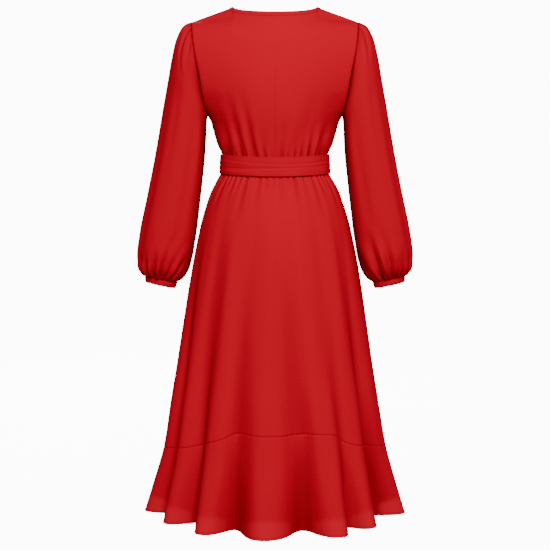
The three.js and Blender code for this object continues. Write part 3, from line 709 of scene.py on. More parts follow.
@dataclass
class Skirt:
    """The gathered skirt and its flounce, each in a back and two crossed fronts.

    Attributes:
        columns: how many columns the whole round has.
        skirt_rows: how many rows the skirt has.
        flounce_rows: how many rows the flounce has.
        gathers: creases under the sash: turn at the sash and below, height at the sash and at the end, depth,
            half width in degrees.
        slow_waves: cycles round, phase, drift with height, reach: the slow unevenness of the hanging cloth.
    """

    columns: int = 672
    skirt_rows: int = 128
    flounce_rows: int = 44
    gathers: tuple[tuple[float, ...], ...] = (
        (-86, -88, -384, -440, 2.4, 1.6),
        (-78, -80, -384, -480, 3.2, 1.7),
        (-70, -70, -384, -455, 2.2, 1.4),
        (-58, -60, -384, -500, 3.2, 1.6),
        (-51, -53, -384, -430, 1.8, 1.2),
        (-45, -46, -384, -470, 3.0, 1.5),
        (-37, -38, -384, -440, 1.8, 1.3),
        (-30, -31, -384, -540, 3.4, 1.7),
        (-16, -17, -384, -500, 2.6, 1.6),
        (-9, -9, -384, -430, 1.5, 1.3),
        (-1, 0, -384, -450, 1.6, 1.4),
        (5.6, 6, -384, -490, 2.6, 1.6),
        (13, 14, -384, -430, 1.5, 1.3),
        (20.6, 22, -384, -520, 3.0, 1.6),
        (30.4, 32, -384, -470, 2.6, 1.4),
        (36, 37, -384, -430, 1.6, 1.2),
        (41.4, 43, -384, -520, 3.2, 1.6),
        (49.8, 52, -384, -460, 2.4, 1.4),
        (57, 58, -384, -430, 1.8, 1.3),
        (64.4, 66, -384, -500, 3.2, 1.6),
        (74, 76, -384, -450, 2.4, 1.5),
        (83, 85, -384, -480, 2.8, 1.6),
    )
    slow_waves: tuple[tuple[float, float, float, float], ...] = (
        (9, 0.4, 1.5, 0.9),
        (15, 2.1, -1.2, 0.7),
        (23, 4.0, 2.2, 0.45),
        (37, 1.3, -2.8, 0.25),
    )

    def fold_at(self, column: np.ndarray, z: np.ndarray) -> tuple[np.ndarray, np.ndarray, np.ndarray]:
        """The turn that each column hangs at where the folds are deepest, its swing and the painted shade of its
        valley.

        The swing is a cosine from ridge to valley, and the turn is drawn away from ridges and towards the sides
        of folds, so that ridges are broad and their sides steep. A valley leans towards one of its ridges, which
        then overhangs it a little, and a valley that starts low is shallow above it.

        Args:
            column: places round, from 0 at the wearer's left side seam.
            z: heights.

        Returns:
            The turns, the swings from about -1 in a valley to 1 on a ridge, and how much painted shade the cloth
            takes in the valley beside a ridge that overhangs it, from 0 to 1.
        """
        along = (column - FIRST_RIDGE_COLUMN) / FOLD_COLUMNS
        number = np.floor(along).astype(int)
        share = along - number
        here = FOLDS[number % len(FOLDS)]
        following = FOLDS[(number + 1) % len(FOLDS)]
        span = (following[..., 0] - here[..., 0]) % 360
        wave = 2 * np.pi * share
        spread = share + RIDGE_BREADTH * np.sin(wave) / (2 * np.pi) + here[..., 4] * np.sin(2 * wave) / (4 * np.pi)
        spread = spread + VALLEY_LEAN * here[..., 5] * (1 - np.cos(wave)) / 2
        turn = here[..., 0] + spread * span - 360.0 * (number < 0) + 360.0 * (number >= len(FOLDS))
        ridge = np.where(share < 0.5, here[..., 1], following[..., 1])
        valley = here[..., 2] * (1 - 0.9 * here[..., 3] * (1 - smoothstep(-z, 980, 1130)))
        # Painted shade in the valley, shifted towards the ridge that overhangs it.
        from_middle = share - 0.5 + VALLEY_SHADE_SHIFT * np.sign(here[..., 5])
        painted_valley_shade = np.exp(-((from_middle / VALLEY_SHADE_WIDTH) ** 2)) * here[..., 6]
        return turn, ridge - (ridge + valley) * (1 - np.cos(wave)) / 2, painted_valley_shade

    def edges(self, even_turn: np.ndarray) -> tuple[np.ndarray, np.ndarray, np.ndarray]:
        """Heights of the waist's dip, the flounce seam and the hem at a turn."""
        away = np.minimum(np.abs((even_turn + 540) % 360 - 180), 90)
        dip = WAIST_DIP_BACK * np.maximum(np.cos(np.radians(even_turn)), 0) ** 2
        return dip, EDGES.read("seam", away), EDGES.read("hem", away)

    def places(self, column: np.ndarray, z: np.ndarray, sized_at: np.ndarray) -> np.ndarray:
        """Places of the cloth at a column and a height.

        The bare shape is an ellipse at each height, deeper behind than in front. Folds and slow waves stand
        out from it, square to the ellipse.

        Args:
            column: places round.
            z: heights.
            sized_at: the heights that the tables are read at.

        Returns:
            The places.
        """
        even = column * 360 / COLUMNS_ROUND - 90
        fold_turn, swing, _ = self.fold_at(column, z)
        turn = lerp(even, fold_turn, FOLD_REACH.read("drawn", sized_at))
        sin, cos = np.sin(np.radians(turn)), np.cos(np.radians(turn))
        side = SKIRT.read("side", sized_at)
        depth = np.where(cos >= 0, SKIRT.read("back", sized_at), SKIRT.read("front", sized_at))
        outward = unit(points(-sin / side, cos / depth, 0 * sin))
        below = smoothstep(-sized_at, 404, 620)
        waves = sum(reach * np.sin(np.radians(turn) * cycles + phase + drift * (sized_at + 400) / 300)
                    for cycles, phase, drift, reach in self.slow_waves)
        stand = FOLD_REACH.read("folds", sized_at) * swing + waves * below * (1 + smoothstep(-sized_at, 800, 1200))
        stand = stand + self.gathered(even, sized_at)
        return points(-side * sin, depth * cos, z) + outward * stand[..., None]

    def gathered(self, turn: np.ndarray, z: np.ndarray) -> np.ndarray:
        """How far the gathers under the sash stand out: the same ones behind and, turned, in front."""
        behind = creased(self.gathers, turn, z, 360.0)
        front = tuple((180 - at * 0.97 + 3, 180 - to * 0.97 + 3, start, end, depth, width)
                      for at, to, start, end, depth, width in self.gathers)
        radians = np.radians(turn)
        fine = 0.5 * np.cos(radians * 61 + 0.8 * np.sin(radians * 7)) * (1 - smoothstep(-z, 388, 440))
        return behind + creased(front, turn, z, 360.0) + fine

    def panel(self, name: str, span: tuple[float, float], flounce: bool, under: bool) -> Cloth:
        """One panel of the skirt or the flounce.

        Args:
            name: the piece's name.
            span: its first and last column.
            flounce: whether it is a panel of the flounce.
            under: whether it is the front that lies under the other.

        Returns:
            The panel's cloth.
        """
        count = int(round((span[1] - span[0]) * self.columns / COLUMNS_ROUND)) + 1
        column = np.linspace(span[0], span[1], count)[None, :]
        even = column * 360 / COLUMNS_ROUND - 90
        dip, seam, hem = self.edges(even)
        rows = self.flounce_rows if flounce else self.skirt_rows
        share = np.linspace(0, 1, rows)
        near = np.array([0.006, 0.012, 0.02, 0.03])
        allowance = np.array([-0.034, -0.022, -0.011, -0.005]) if flounce else near[:0]
        share = np.unique(np.concatenate([allowance, share, near, 1 - near]))[:, None]
        if flounce:
            z = lerp(seam, hem, share)
            sized_at = lerp(seam, HEM_SIZED_AT, share)
            from_seam, from_hem = (seam - z), (z - hem)
        else:
            level = lerp(WAIST_Z, SEAM_SIDE_Z, share)
            lifted = smoothstep(-level, -SEAM_LIFT_STARTS_Z, -SEAM_SIDE_Z) * (seam - SEAM_SIDE_Z)
            dipped = dip * (1 - smoothstep(-level, -WAIST_Z, -SEAM_LIFT_STARTS_Z))
            z, sized_at = level + lifted - dipped, level + lifted
            from_seam, from_hem = np.maximum(z - seam, 0), np.full(z.shape, 1e3)
        cloth = Cloth(name, self.places(column, z, sized_at))
        front_edge = (span[1] - column if not under else column - span[0]) * 360 / COLUMNS_ROUND * HEM_MM_PER_DEGREE
        is_front = span[0] > 0
        rolled = np.minimum(from_hem, front_edge) if is_front else from_hem + 0 * column
        rolled = np.broadcast_to(rolled, z.shape)
        pucker = 0.35 * np.sin(column * 9.0) * np.exp(-np.abs(from_seam) / 9)
        inset = -0.8 * np.exp(-((from_seam / 2.0) ** 2)) + pucker - 1.5 * smoothstep(-from_seam, 0.2, 1.4)
        tucked = 1 - smoothstep(column, 3 * COLUMNS_ROUND / 4 + WRAP_COLUMNS + 4, COLUMNS_ROUND) if under else 0.0
        cloth.push(inset - 2 * WRAP_STEP * tucked + 0 * z)
        cloth.thickness = CLOTH + 1.5 * np.exp(-(((rolled - 1.8) / 1.6) ** 2))
        # Painted shade in the groove of the flounce seam and along the stitching above the rolled hem.
        line = np.exp(-(((rolled - 4.6) / 1.1) ** 2))
        cloth.seam = np.clip(np.exp(-((from_seam / 0.9) ** 2)) * 0.3 + 0.2 * line, 0, 1)
        # Painted shade at the sides by the hips, in the valleys beside overhanging ridges, in the troughs of the
        # gathers under the sash, and a little more towards the hem.
        aside = np.exp(-(((np.abs((even + 540) % 360 - 180) - 90) / 12) ** 2))
        _, swing, painted_valley_shade = self.fold_at(column, z)
        gathers = np.clip(-self.gathered(even, sized_at) / 4, 0, 1) * (0 if flounce else 1)
        cloth.painted_shade = 0.6 * aside * (1 - smoothstep(-z, 600, 860)) + 0.45 * painted_valley_shade * smoothstep(-z, 860, 1160)
        cloth.painted_shade = cloth.painted_shade + 0.35 * gathers + 0.1 * smoothstep(-z, 1000, 1200)
        # Painted light low on the flounce's ridges near the hem, where light would come through a single layer.
        if flounce:
            on_ridge = smoothstep(swing, -0.45, 0.1)
            cloth.painted_through_light = (1 - smoothstep(from_hem, 24 + 8 * swing, 38 + 10 * swing)) * on_ridge * 0.9
        self._free_edges(cloth, flounce, is_front, under)
        return cloth

    @staticmethod
    def _free_edges(cloth: Cloth, flounce: bool, is_front: bool, under: bool) -> None:
        """Draw the sewn edges back by half the seam gap."""
        def draw_back(edge: np.ndarray, inner: np.ndarray) -> None:
            """Move one edge half the gap towards the places beside it."""
            edge += unit(inner - edge) * SEAM_GAP / 2

        grid = cloth.grid
        if not flounce:
            draw_back(grid[0], grid[1].copy())
            draw_back(grid[-1], grid[-2].copy())
        if not is_front or not under:
            draw_back(grid[:, 0], grid[:, 1].copy())
        if not is_front or under:
            draw_back(grid[:, -1], grid[:, -2].copy())

    def build(self, wardrobe: Wardrobe) -> None:
        quarter = COLUMNS_ROUND / 4
        spans = {
            "back": (0.0, 2 * quarter),
            "front_right": (2 * quarter, 3 * quarter + WRAP_COLUMNS),
            "front_left": (3 * quarter - WRAP_COLUMNS, 4 * quarter),
        }
        for kind in ("skirt", "flounce"):
            for place, span in spans.items():
                node = f"{kind}_{place}"
                cloth = self.panel(f"{node}_cloth", span, kind == "flounce", place == "front_left")
                stitched = ()
                if kind == "flounce":
                    outward = facings(cloth.grid, False)
                    row = -STITCH_ROW_ABOVE_HEM
                    line = cloth.grid[row] + outward[row] * CLOTH * 0.55
                    stitched = (wardrobe.stitch(StitchRow().mesh(f"hem_stitches_{place}", line, outward[row])),)
                wardrobe.dress(cloth.mesh(), node)
                LOG.info("%s made", node)


@dataclass
class Bodice:
    """The bodice back, the two crossed fronts and the bindings of the neck edge.

    Attributes:
        gathers_back: creases that rise from the sash behind: x at the sash and at the top, height at both, depth,
            half width.
        gathers_front: the same on one front, as seen on the wearer's left half.
    """

    gathers_back: tuple[tuple[float, ...], ...] = (
        (113, 120, -346, -290, 2.2, 3.6),
        (104, 124, -346, -220, 3.4, 6.0),
        (90, 100, -346, -292, 2.0, 3.6),
        (77, 116, -346, -160, 4.8, 6.0),
        (66, 76, -346, -290, 2.2, 3.4),
        (55, 64, -346, -270, 3.2, 4.2),
        (46, 92, -346, -150, 4.6, 5.6),
        (24, 34, -346, -280, 2.6, 4.6),
        (8, 14, -346, -300, 1.6, 4.0),
        (-3, -2, -346, -262, 2.0, 4.6),
        (-15, -28, -346, -230, 3.6, 5.2),
        (-33, -42, -346, -292, 2.2, 4.0),
        (-48, -68, -346, -222, 4.2, 5.2),
        (-62, -92, -346, -180, 5.0, 5.6),
        (-80, -102, -346, -214, 5.4, 5.4),
        (-95, -108, -346, -280, 2.6, 3.6),
        (-106, -126, -346, -226, 4.0, 5.2),
        (-116, -123, -346, -300, 2.0, 3.4),
    )
    gathers_front: tuple[tuple[float, ...], ...] = (
        (112, 122, -346, -276, 2.6, 3.0),
        (100, 112, -346, -262, 3.2, 3.2),
        (88, 96, -346, -290, 2.4, 2.8),
        (77, 92, -346, -246, 3.6, 3.2),
        (64, 72, -346, -286, 2.2, 2.8),
        (52, 66, -346, -256, 3.0, 3.0),
        (38, 44, -346, -296, 2.0, 3.0),
        (24, 36, -346, -266, 2.6, 3.0),
        (8, 14, -346, -292, 1.8, 3.0),
        (-8, 8, -346, -270, 2.2, 3.2),
        (-26, -12, -346, -284, 2.0, 3.0),
    )

    @staticmethod
    def side_edge(z: np.ndarray, depth: float) -> tuple[np.ndarray, np.ndarray]:
        """Distance from the middle and depth of the armhole or side seam at a height.

        The armhole is half an ellipse between the shoulder and the underarm, bowed a little outward.
        """
        middle, half = (SHOULDER_Z + UNDERARM_Z) / 2, (SHOULDER_Z - UNDERARM_Z) / 2
        angle = np.arccos(np.clip((z - middle) / half, -1, 1))
        down = np.clip((SHOULDER_Z - z) / (SHOULDER_Z - UNDERARM_Z), 0, 1)
        bow = ARMHOLE_BOW * np.sin(np.pi * down**0.7)
        x = np.where(z >= UNDERARM_Z, lerp(SHOULDER_X, UNDERARM_X, down) + bow, SIDE_SEAM.read("side", z))
        return x, depth * np.sin(angle)

    def depth_at(self, x: np.ndarray, z: np.ndarray, where: str) -> np.ndarray:
        """Depth of the trunk at a place seen from behind or in front.

        Across the body the depth falls from the middle to the side edge as a power of a circle's, and within a
        short way below the shoulder seam and the back neck it rounds in as a quarter circle. Low down, away from
        the edge, the edge's own depth is averaged over some way up and down, so that the underarm leaves no ridge.
        """
        edge_x, edge_y = self.side_edge(z, ARMHOLE_DEPTH[where])
        out = np.clip(np.abs(x) / edge_x, 0, 1)
        offsets = np.linspace(-44, 44, 15)
        weights = np.cos(offsets / 56) ** 2
        eased = sum(w * self.side_edge(z + o, ARMHOLE_DEPTH[where])[1] for o, w in zip(offsets, weights))
        own = 1 - (1 - out**14) * smoothstep(-z, 110, 190)
        edge_y = lerp(eased / weights.sum(), edge_y, own)
        crown = np.sqrt(1 - out * out) ** TRUNK.read("flat", z)
        full = edge_y + (TRUNK.read(where, z) - edge_y) * crown
        over = np.clip((np.abs(x) - NECK_POINT_X) / (SHOULDER_X - NECK_POINT_X), 0, 1)
        at_neck = np.sqrt(1 - np.minimum(np.abs(x) / NECK_POINT_X, 1) ** 2)
        behind = where == "back"
        top_z = SHOULDER_Z * over - (NECK_DROP_BACK * at_neck if behind else 0)
        top_y = np.maximum(NECK_DEPTH_BACK * at_neck, edge_y) if behind else edge_y
        level = 1 - np.clip((top_z - z) / SHOULDER_ROUNDING, 0, 1)
        return top_y + (full - top_y) * np.sqrt(1 - level * level)

    def back_places(self, across: np.ndarray, share: np.ndarray) -> np.ndarray:
        """Places of the back: across from 1 at the wearer's left edge to -1, share from 0 at the top to 1."""
        side_z = SHOULDER_Z - share * (SHOULDER_Z - WAIST_Z)
        size = np.abs(across)
        neck = np.radians(90 * np.minimum(size * 2, 1))
        shoulder = np.maximum(size * 2 - 1, 0)
        top_x = NECK_POINT_X * np.sin(neck) + (SHOULDER_X - NECK_POINT_X) * shoulder
        top_z = -NECK_DROP_BACK * np.cos(neck) + SHOULDER_Z * shoulder
        edge_x, _ = self.side_edge(side_z, 0.0)
        x = edge_x * lerp(top_x / SHOULDER_X, np.sin(np.radians(90 * size)), smoothstep(share, 0, 0.6))
        dip = WAIST_DIP_BACK * np.cos(np.radians(90 * size)) ** 2
        z = lerp(top_z, WAIST_Z - dip, share)
        return points(np.sign(across) * x, self.depth_at(x, z, "back"), z + self.raised(x, share))

    @staticmethod
    def raised(x: np.ndarray, share: np.ndarray) -> np.ndarray:
        """How much higher the dressed top edge stands than the plain panel, most of all at the neck points."""
        return (2.4 + 0.9 * np.exp(-(((x - 97) / 9) ** 2))) * (1 - smoothstep(share, 0, 0.25))

    def front_places(self, along: np.ndarray, share: np.ndarray, over: bool) -> np.ndarray:
        """Places of one front, as if it were the wearer's left one: along from 0 at its side to 1 at its edge."""
        side_z = SHOULDER_Z - share * (SHOULDER_Z - WAIST_Z)
        edge = lerp(NECK_POINT_X, WRAP_EDGE_X, share**WRAP_EDGE_BEND)
        side, _ = self.side_edge(side_z, 0.0)
        x = lerp(side, edge, along)
        z = lerp(lerp(SHOULDER_Z, 0, along), WAIST_Z, share)
        y = -self.depth_at(x, z, "front")
        outward = unit(points(x / side, y / 95, 0 * z))
        lift = (WRAP_STEP if over else -WRAP_STEP) * smoothstep(share, 0.2, 0.5) * smoothstep(along, 0.02, 0.25)
        return points(x, y, z + self.raised(x, share)) + outward * lift[..., None]

    def back(self) -> Cloth:
        """The back panel with its gathers above the sash and a faint centre line."""
        share = self._row_shares()[:, None]
        across = np.linspace(1, -1, 181)[None, :]
        cloth = Cloth("bodice_back_cloth", self.back_places(across, share))
        x, z = cloth.grid[..., 0], cloth.grid[..., 2]
        from_armhole = (1 - np.abs(across)) * self.side_edge(SHOULDER_Z - share * 332, 0.0)[0]
        low = smoothstep(-z, 90, 200) * (1 - smoothstep(-z, 246, 272))
        side = 5.0 * low * (1 - np.exp(-((from_armhole / 7) ** 2))) * np.exp(-((from_armhole / 38) ** 2))
        side = side - np.exp(-((from_armhole / 2.4) ** 2))
        blades = 1.6 * np.exp(-(((np.abs(x) - 80) / 40) ** 2) - ((z + 140) / 70) ** 2)
        centre = -0.3 * np.exp(-((x / 1.4) ** 2)) * smoothstep(-z, 110, 170) * (1 - smoothstep(-z, 290, 330))
        slack = 0.8 * np.sin(x / 23 + 0.6) * np.sin(-z / 60) * smoothstep(-z, 180, 260)
        cloth.push(creased(self.gathers_back, x, z) + side + blades + centre + slack)
        deep = low * smoothstep(-z, 140, 220)
        gathers = np.clip(-creased(self.gathers_back, x, z) / 4, 0, 1)
        # Painted shade beside the armhole low down, close along it under the arm, and in the troughs of the
        # gathers.
        cloth.painted_shade = 0.5 * low * np.exp(-((from_armhole / 24) ** 2)) + 0.2 * gathers
        cloth.painted_shade = cloth.painted_shade + 0.2 * np.exp(-((from_armhole / 10) ** 2)) * smoothstep(-z, 240, 270)
        # Painted shade in the armhole seam's groove, wider and darker towards the underarm, and a faint line of it
        # down the centre back.
        cloth.seam = (0.4 + 0.6 * low) * np.exp(-((from_armhole / (1.6 + 2.0 * low + 5.0 * deep)) ** 2))
        cloth.seam = cloth.seam + 0.12 * np.exp(-((x / 1.2) ** 2)) * smoothstep(-z, 110, 200)
        cloth.grid[-1, :, 2] += SEAM_GAP / 2
        shoulder = np.abs(np.linspace(1, -1, 181)) >= 0.5
        cloth.grid[0, shoulder, 1] += SEAM_GAP / 2
        cloth.grid[:, 0, 0] -= SEAM_GAP / 2
        cloth.grid[:, -1, 0] += SEAM_GAP / 2
        return cloth

    def front(self, over: bool) -> Cloth:
        """One crossed front: the wearer's right one lies over the left one."""
        share = self._row_shares()[:, None]
        along = np.linspace(0, 1, 131)[None, :]
        grid = self.front_places(along, share, over)
        x, z = grid[..., 0], grid[..., 2]
        from_side = along * (self.side_edge(SHOULDER_Z - share * 332, 0.0)[0]
                             - lerp(NECK_POINT_X, WRAP_EDGE_X, share**WRAP_EDGE_BEND))
        move = creased(self.gathers_front, x, z) - np.exp(-((from_side / 2.4) ** 2))
        move = move + 1.2 * np.sin((x + z) / 31) * smoothstep(-z, 200, 300) * smoothstep(x, -20, 30)
        grid[0, :, 1] -= SEAM_GAP / 2
        grid[-1, :, 2] += SEAM_GAP / 2
        grid[:, 0, 0] -= SEAM_GAP / 2
        # Painted shade in the groove of the armhole and side seam.
        seam = 0.8 * np.exp(-((from_side / 1.8) ** 2))
        if over:
            grid[..., 0] *= -1
        else:
            grid, move, seam = grid[:, ::-1], move[:, ::-1], seam[:, ::-1]
        cloth = Cloth(f"bodice_front_{'right' if over else 'left'}_cloth", grid)
        cloth.push(move * (0.75 if over else 0.5))
        cloth.seam = seam
        return cloth

    @staticmethod
    def _row_shares() -> np.ndarray:
        """Shares of the way down, closer together where the shoulder rounds."""
        even = np.linspace(0, 1, 104)
        return np.unique(np.concatenate([np.linspace(0, 0.06, 16), even]))

    @staticmethod
    def binding(name: str, edge: np.ndarray, inner: np.ndarray, outward: np.ndarray, lift: float) -> Cloth:
        """A narrow folded binding over a cut edge.

        Its section starts on the inside, goes round the edge and ends on the outside.

        Args:
            name: the piece's name.
            edge: places along the cut edge.
            inner: for each, the place a binding's width into the panel.
            outward: the panel's outward direction there.
            lift: how far its outer leaf stands off the panel's middle.

        Returns:
            The binding's cloth.
        """
        into = unit(inner - edge)
        width = np.linalg.norm(inner - edge, axis=-1, keepdims=True)
        section = ((1.0, -0.9), (0.6, -1.05), (0.1, -1.1), (-0.09, -0.75), (-0.15, 0.0), (-0.09, 0.8),
                   (0.1, 1.25), (0.45, 1.4), (0.72, 1.25), (0.8, 1.02), (0.88, 1.25), (1.0, 1.0))
        rows = [edge + into * width * a + outward * (b * (lift if b > 0 else 1.0)) for a, b in section]
        return Cloth(name, np.stack(rows[::-1], axis=0), thickness=0.5)

    def build(self, wardrobe: Wardrobe) -> None:
        back = self.back()
        wardrobe.dress(back.mesh(), "bodice_back")
        share = 9.0 / 350.0
        across = np.linspace(0.5, -0.5, 121)
        edge = self.back_places(across, 0 * across)
        inner = self.back_places(across, 0 * across + share)
        deeper = self.back_places(across, 0 * across + 2 * share)
        outward = facings(np.stack([edge, inner, deeper]), False)
        strip = self.binding("neck_binding_back_cloth", edge, inner, outward[1], 1.0)
        stitches = self._binding_stitches("neck_stitches_back", edge, inner, outward[1], wardrobe)
        wardrobe.dress(strip.mesh(), "neck_binding_back", trim=True)
        for over in (True, False):
            side = "right" if over else "left"
            front = self.front(over)
            wardrobe.dress(front.mesh(), f"bodice_front_{side}")
            grid = front.grid if over else front.grid[:, ::-1]
            edge, inner = grid[:, -1], grid[:, -9]
            inner = edge + unit(inner - edge) * BINDING_WIDTH
            outward = facings(front.grid, False)
            outward = outward[:, -2] if over else outward[:, 1]
            strip = self.binding(f"neck_binding_{side}_cloth", edge, inner, outward, 1.0)
            if over:
                strip.grid = strip.grid[::-1]
            stitches = self._binding_stitches(f"neck_stitches_{side}", edge, inner, outward, wardrobe)
            wardrobe.dress(strip.mesh(), f"neck_binding_{side}", trim=True)
            LOG.info("bodice front %s made", side)

    @staticmethod
    def _binding_stitches(name: str, edge: np.ndarray, inner: np.ndarray, outward: np.ndarray,
                          wardrobe: Wardrobe) -> bpy.types.Object:
        """The stitches along a binding, in the groove near its inner side."""
        line = lerp(edge, inner, 0.8) + outward * 1.3
        return wardrobe.stitch(StitchRow().mesh(name, line, outward))


@dataclass
class Sleeve:
    """One full sleeve gathered at its head and into its cuff, and the cuff.

    Attributes:
        right: whether it is the wearer's right one, made as the left one's mirror image.
        columns: how many columns go round.
        head: creases at the head: angle round the armhole at the seam and at the end, share of the sleeve's
            length at both, depth, half width in degrees. An angle is 0 at the shoulder and 90 behind.
        wrist: the same at the cuff. The right sleeve has its own tables.
        length_waves: long soft folds down the sleeve.
    """

    right: bool
    columns: int = 208
    head: tuple[tuple[float, ...], ...] = (
        (8, 22, 0.0, 0.12, 1.8, 3.2),
        (20, 42, 0.0, 0.13, 2.2, 3.0),
        (32, 64, 0.0, 0.15, 5.0, 3.4),
        (42, 74, 0.0, 0.04, 2.4, 2.8),
        (56, 80, 0.0, 0.10, 1.6, 3.0),
        (-6, -18, 0.0, 0.14, 2.2, 3.2),
        (-21, -44, 0.0, 0.15, 3.6, 3.4),
        (-33, -50, 0.0, 0.10, 2.0, 3.0),
        (-46, -70, 0.0, 0.15, 3.4, 3.4),
    )
    wrist: tuple[tuple[float, ...], ...] = (
        (12, 10, 1.0, 0.88, 4.0, 4.5),
        (30, 33, 1.0, 0.84, 5.0, 4.8),
        (52, 52, 1.0, 0.80, 7.0, 4.6),
        (62, 62, 1.0, 0.93, 2.4, 3.4),
        (71, 69, 1.0, 0.78, 8.5, 4.6),
        (88, 113, 1.0, 0.70, 7.5, 5.2),
        (101, 131, 1.0, 0.76, 7.0, 5.0),
        (112, 126, 1.0, 0.92, 3.0, 3.6),
        (121, 148, 1.0, 0.82, 5.5, 4.6),
        (140, 160, 1.0, 0.84, 5.0, 4.6),
        (158, 172, 1.0, 0.88, 4.0, 4.6),
        (180, 186, 1.0, 0.90, 3.6, 4.4),
        (203, 203, 1.0, 0.82, 5.5, 4.8),
        (222, 218, 1.0, 0.90, 3.4, 4.0),
        (241, 232, 1.0, 0.78, 6.5, 4.8),
        (258, 256, 1.0, 0.88, 3.6, 4.2),
        (275, 280, 1.0, 0.80, 6.5, 5.0),
        (296, 300, 1.0, 0.88, 4.0, 4.2),
        (316, 318, 1.0, 0.80, 6.0, 4.8),
        (337, 338, 1.0, 0.88, 4.0, 4.4),
    )
    length_waves: tuple[tuple[float, float, float, float], ...] = (
        (5, 0.5, 2.0, 1.1),
        (8, 2.6, -3.0, 0.8),
        (13, 1.1, 4.0, 0.35),
    )

    def ring(self, row: tuple[float, ...], angle: np.ndarray, at_armhole: bool) -> np.ndarray:
        """Places round one ring, an ellipse from its outer to its inner edge, deeper or shallower behind."""
        outer = np.array([row[0], 0, row[1]], float)
        inner = np.array([row[2], 0, row[3]], float)
        cos, sin = np.cos(angle), np.sin(angle)
        depth = np.where(sin >= 0, row[4], row[5]) * sin
        places = (outer + inner) / 2 + (outer - inner) / 2 * cos[:, None]
        places[:, 1] += row[6] + depth
        if at_armhole:
            down = (SHOULDER_Z - places[:, 2]) / (SHOULDER_Z - UNDERARM_Z)
            bow = ARMHOLE_BOW * np.sin(np.pi * np.clip(down, 0, 1) ** 0.7)
            places[:, 0] = lerp(SHOULDER_X, UNDERARM_X, down) + bow
        return places

    def cloth(self) -> Cloth:
        """The sleeve: a smooth curve through the rings at each angle, with its creases."""
        angle = np.linspace(0, 2 * np.pi, self.columns, endpoint=False)
        rings = np.stack([self.ring(row, angle, k == 0) for k, row in enumerate(SLEEVE_RINGS)])
        middle = rings.mean(axis=1)
        run = np.concatenate([[0], np.cumsum(np.linalg.norm(np.diff(middle, axis=0), axis=1) + 4)])
        run /= run[-1]
        near = np.array([0.004, 0.008, 0.014, 0.022])
        share = np.unique(np.concatenate([np.linspace(0, 1, 132), near, 1 - near]))
        slope = np.gradient(rings, run, axis=0)
        i = np.clip(np.searchsorted(run, share, side="right") - 1, 0, len(run) - 2)
        step = (run[i + 1] - run[i])[:, None, None]
        t = (share[:, None, None] - run[i][:, None, None]) / step
        rise = t * t * (3 - 2 * t)
        bend = slope[i] * t * (1 - t) ** 2 - slope[i + 1] * t * t * (1 - t)
        grid = rings[i] * (1 - rise) + rings[i + 1] * rise + step * bend
        tucked = np.array([0.06, 0.16, 0.32])
        cuff_top, cuff_bottom = (self.ring(row, angle, False) for row in CUFF_RINGS)
        grid = np.concatenate([grid, lerp(cuff_top[None], cuff_bottom[None], tucked[:, None, None])])
        degrees = np.degrees(angle)[None, :]
        down = np.concatenate([share, 1 + tucked / 40])[:, None]
        to_cuff = np.maximum(1 - down, 0)
        move = creased(self.head, degrees, down, 360.0) * (1 - 0.7 * np.exp(-((down / 0.009) ** 2)))
        flat_at_cuff = 1 - 0.8 * np.exp(-((to_cuff / 0.009) ** 2))
        move = move + 1.1 * creased(self.wrist, degrees, down, 360.0) * flat_at_cuff
        waves = sum(reach * np.sin(angle[None, :] * cycles + phase + drift * down)
                    for cycles, phase, drift, reach in self.length_waves)
        move = move + waves * smoothstep(down, 0.05, 0.3) * (1 - smoothstep(down, 0.9, 1.0))
        turned = np.abs((degrees + 180) % 360 - 180)
        low = smoothstep(turned, 60, 110)
        off = 640 * down
        bulge = 5.0 * low * (1 - smoothstep(turned, 150, 172))
        move = move + bulge * (1 - np.exp(-((off / 7) ** 2))) * np.exp(-((off / 38) ** 2))
        move = move - np.exp(-((off / 3) ** 2)) - 0.8 * np.exp(-((to_cuff / 0.006) ** 2))
        move = move * (down <= 1) - 2.1 * (down > 1)
        grid[0, :, 0] += SEAM_GAP / 2
        made = Cloth(f"sleeve_{self.side}_cloth", grid, round_=True)
        made.push(move)
        # Painted shade in the armhole seam's groove, stronger and wider low under the arm, and in the groove at the
        # cuff.
        made.seam = (0.4 + 0.6 * low) * np.exp(-((off / (1.6 + 2.0 * low)) ** 2))
        made.seam = made.seam + 0.35 * np.exp(-((to_cuff / 0.005) ** 2))
        x, z = made.grid[..., 0], made.grid[..., 2]
        half = self.columns // 2
        edge_z = np.maximum.accumulate(-np.concatenate([z[0, :half], z[:, half]]))
        edge_x = np.concatenate([x[0, :half], x[:, half]])
        apart = x - np.interp(-z, edge_z, edge_x)
        # Painted shade along the sleeve's inner edge, strongest under the arm where sleeve and bodice stand close.
        under = smoothstep(-z, 120, 215) * (1 - smoothstep(-z, 330, 480))
        made.seam = made.seam + under * np.exp(-((apart / 5.5) ** 2)) + 0.45 * np.exp(-((apart / 2.5) ** 2))
        # Painted shade in the troughs of the wrist's puckers and of the creases at the head.
        puckers = np.clip(-creased(self.wrist, degrees, down, 360.0) / 5, 0, 1) * np.exp(-((to_cuff / 0.06) ** 2))
        tucks = np.clip(-creased(self.head, degrees, down, 360.0) / 4, 0, 1) * np.exp(-((down / 0.09) ** 2))
        made.seam = np.clip(made.seam + 0.1 * puckers + 0.2 * tucks, 0, 1)
        # Painted shade beside the inner edge, a little in the puckers, and low round the armhole.
        made.painted_shade = 0.4 * np.exp(-((apart / 10) ** 2)) + 0.05 * smoothstep(puckers, 0, 0.6)
        made.painted_shade = made.painted_shade + 0.4 * low * np.exp(-((off / 30) ** 2))
        return self.mirrored(made)

    @property
    def side(self) -> str:
        """The wearer's side, as the names have it."""
        return "right" if self.right else "left"

    def mirrored(self, made: Cloth) -> Cloth:
        """Turn a left piece into a right one, if this is the right sleeve."""
        if self.right:
            made.grid = (made.grid * np.array([-1.0, 1.0, 1.0]))[:, ::-1]
            for label in ("seam", "painted_through_light", "painted_shade", "thickness"):
                value = getattr(made, label)
                if isinstance(value, np.ndarray) and value.ndim == 2:
                    setattr(made, label, value[:, ::-1])
        return made

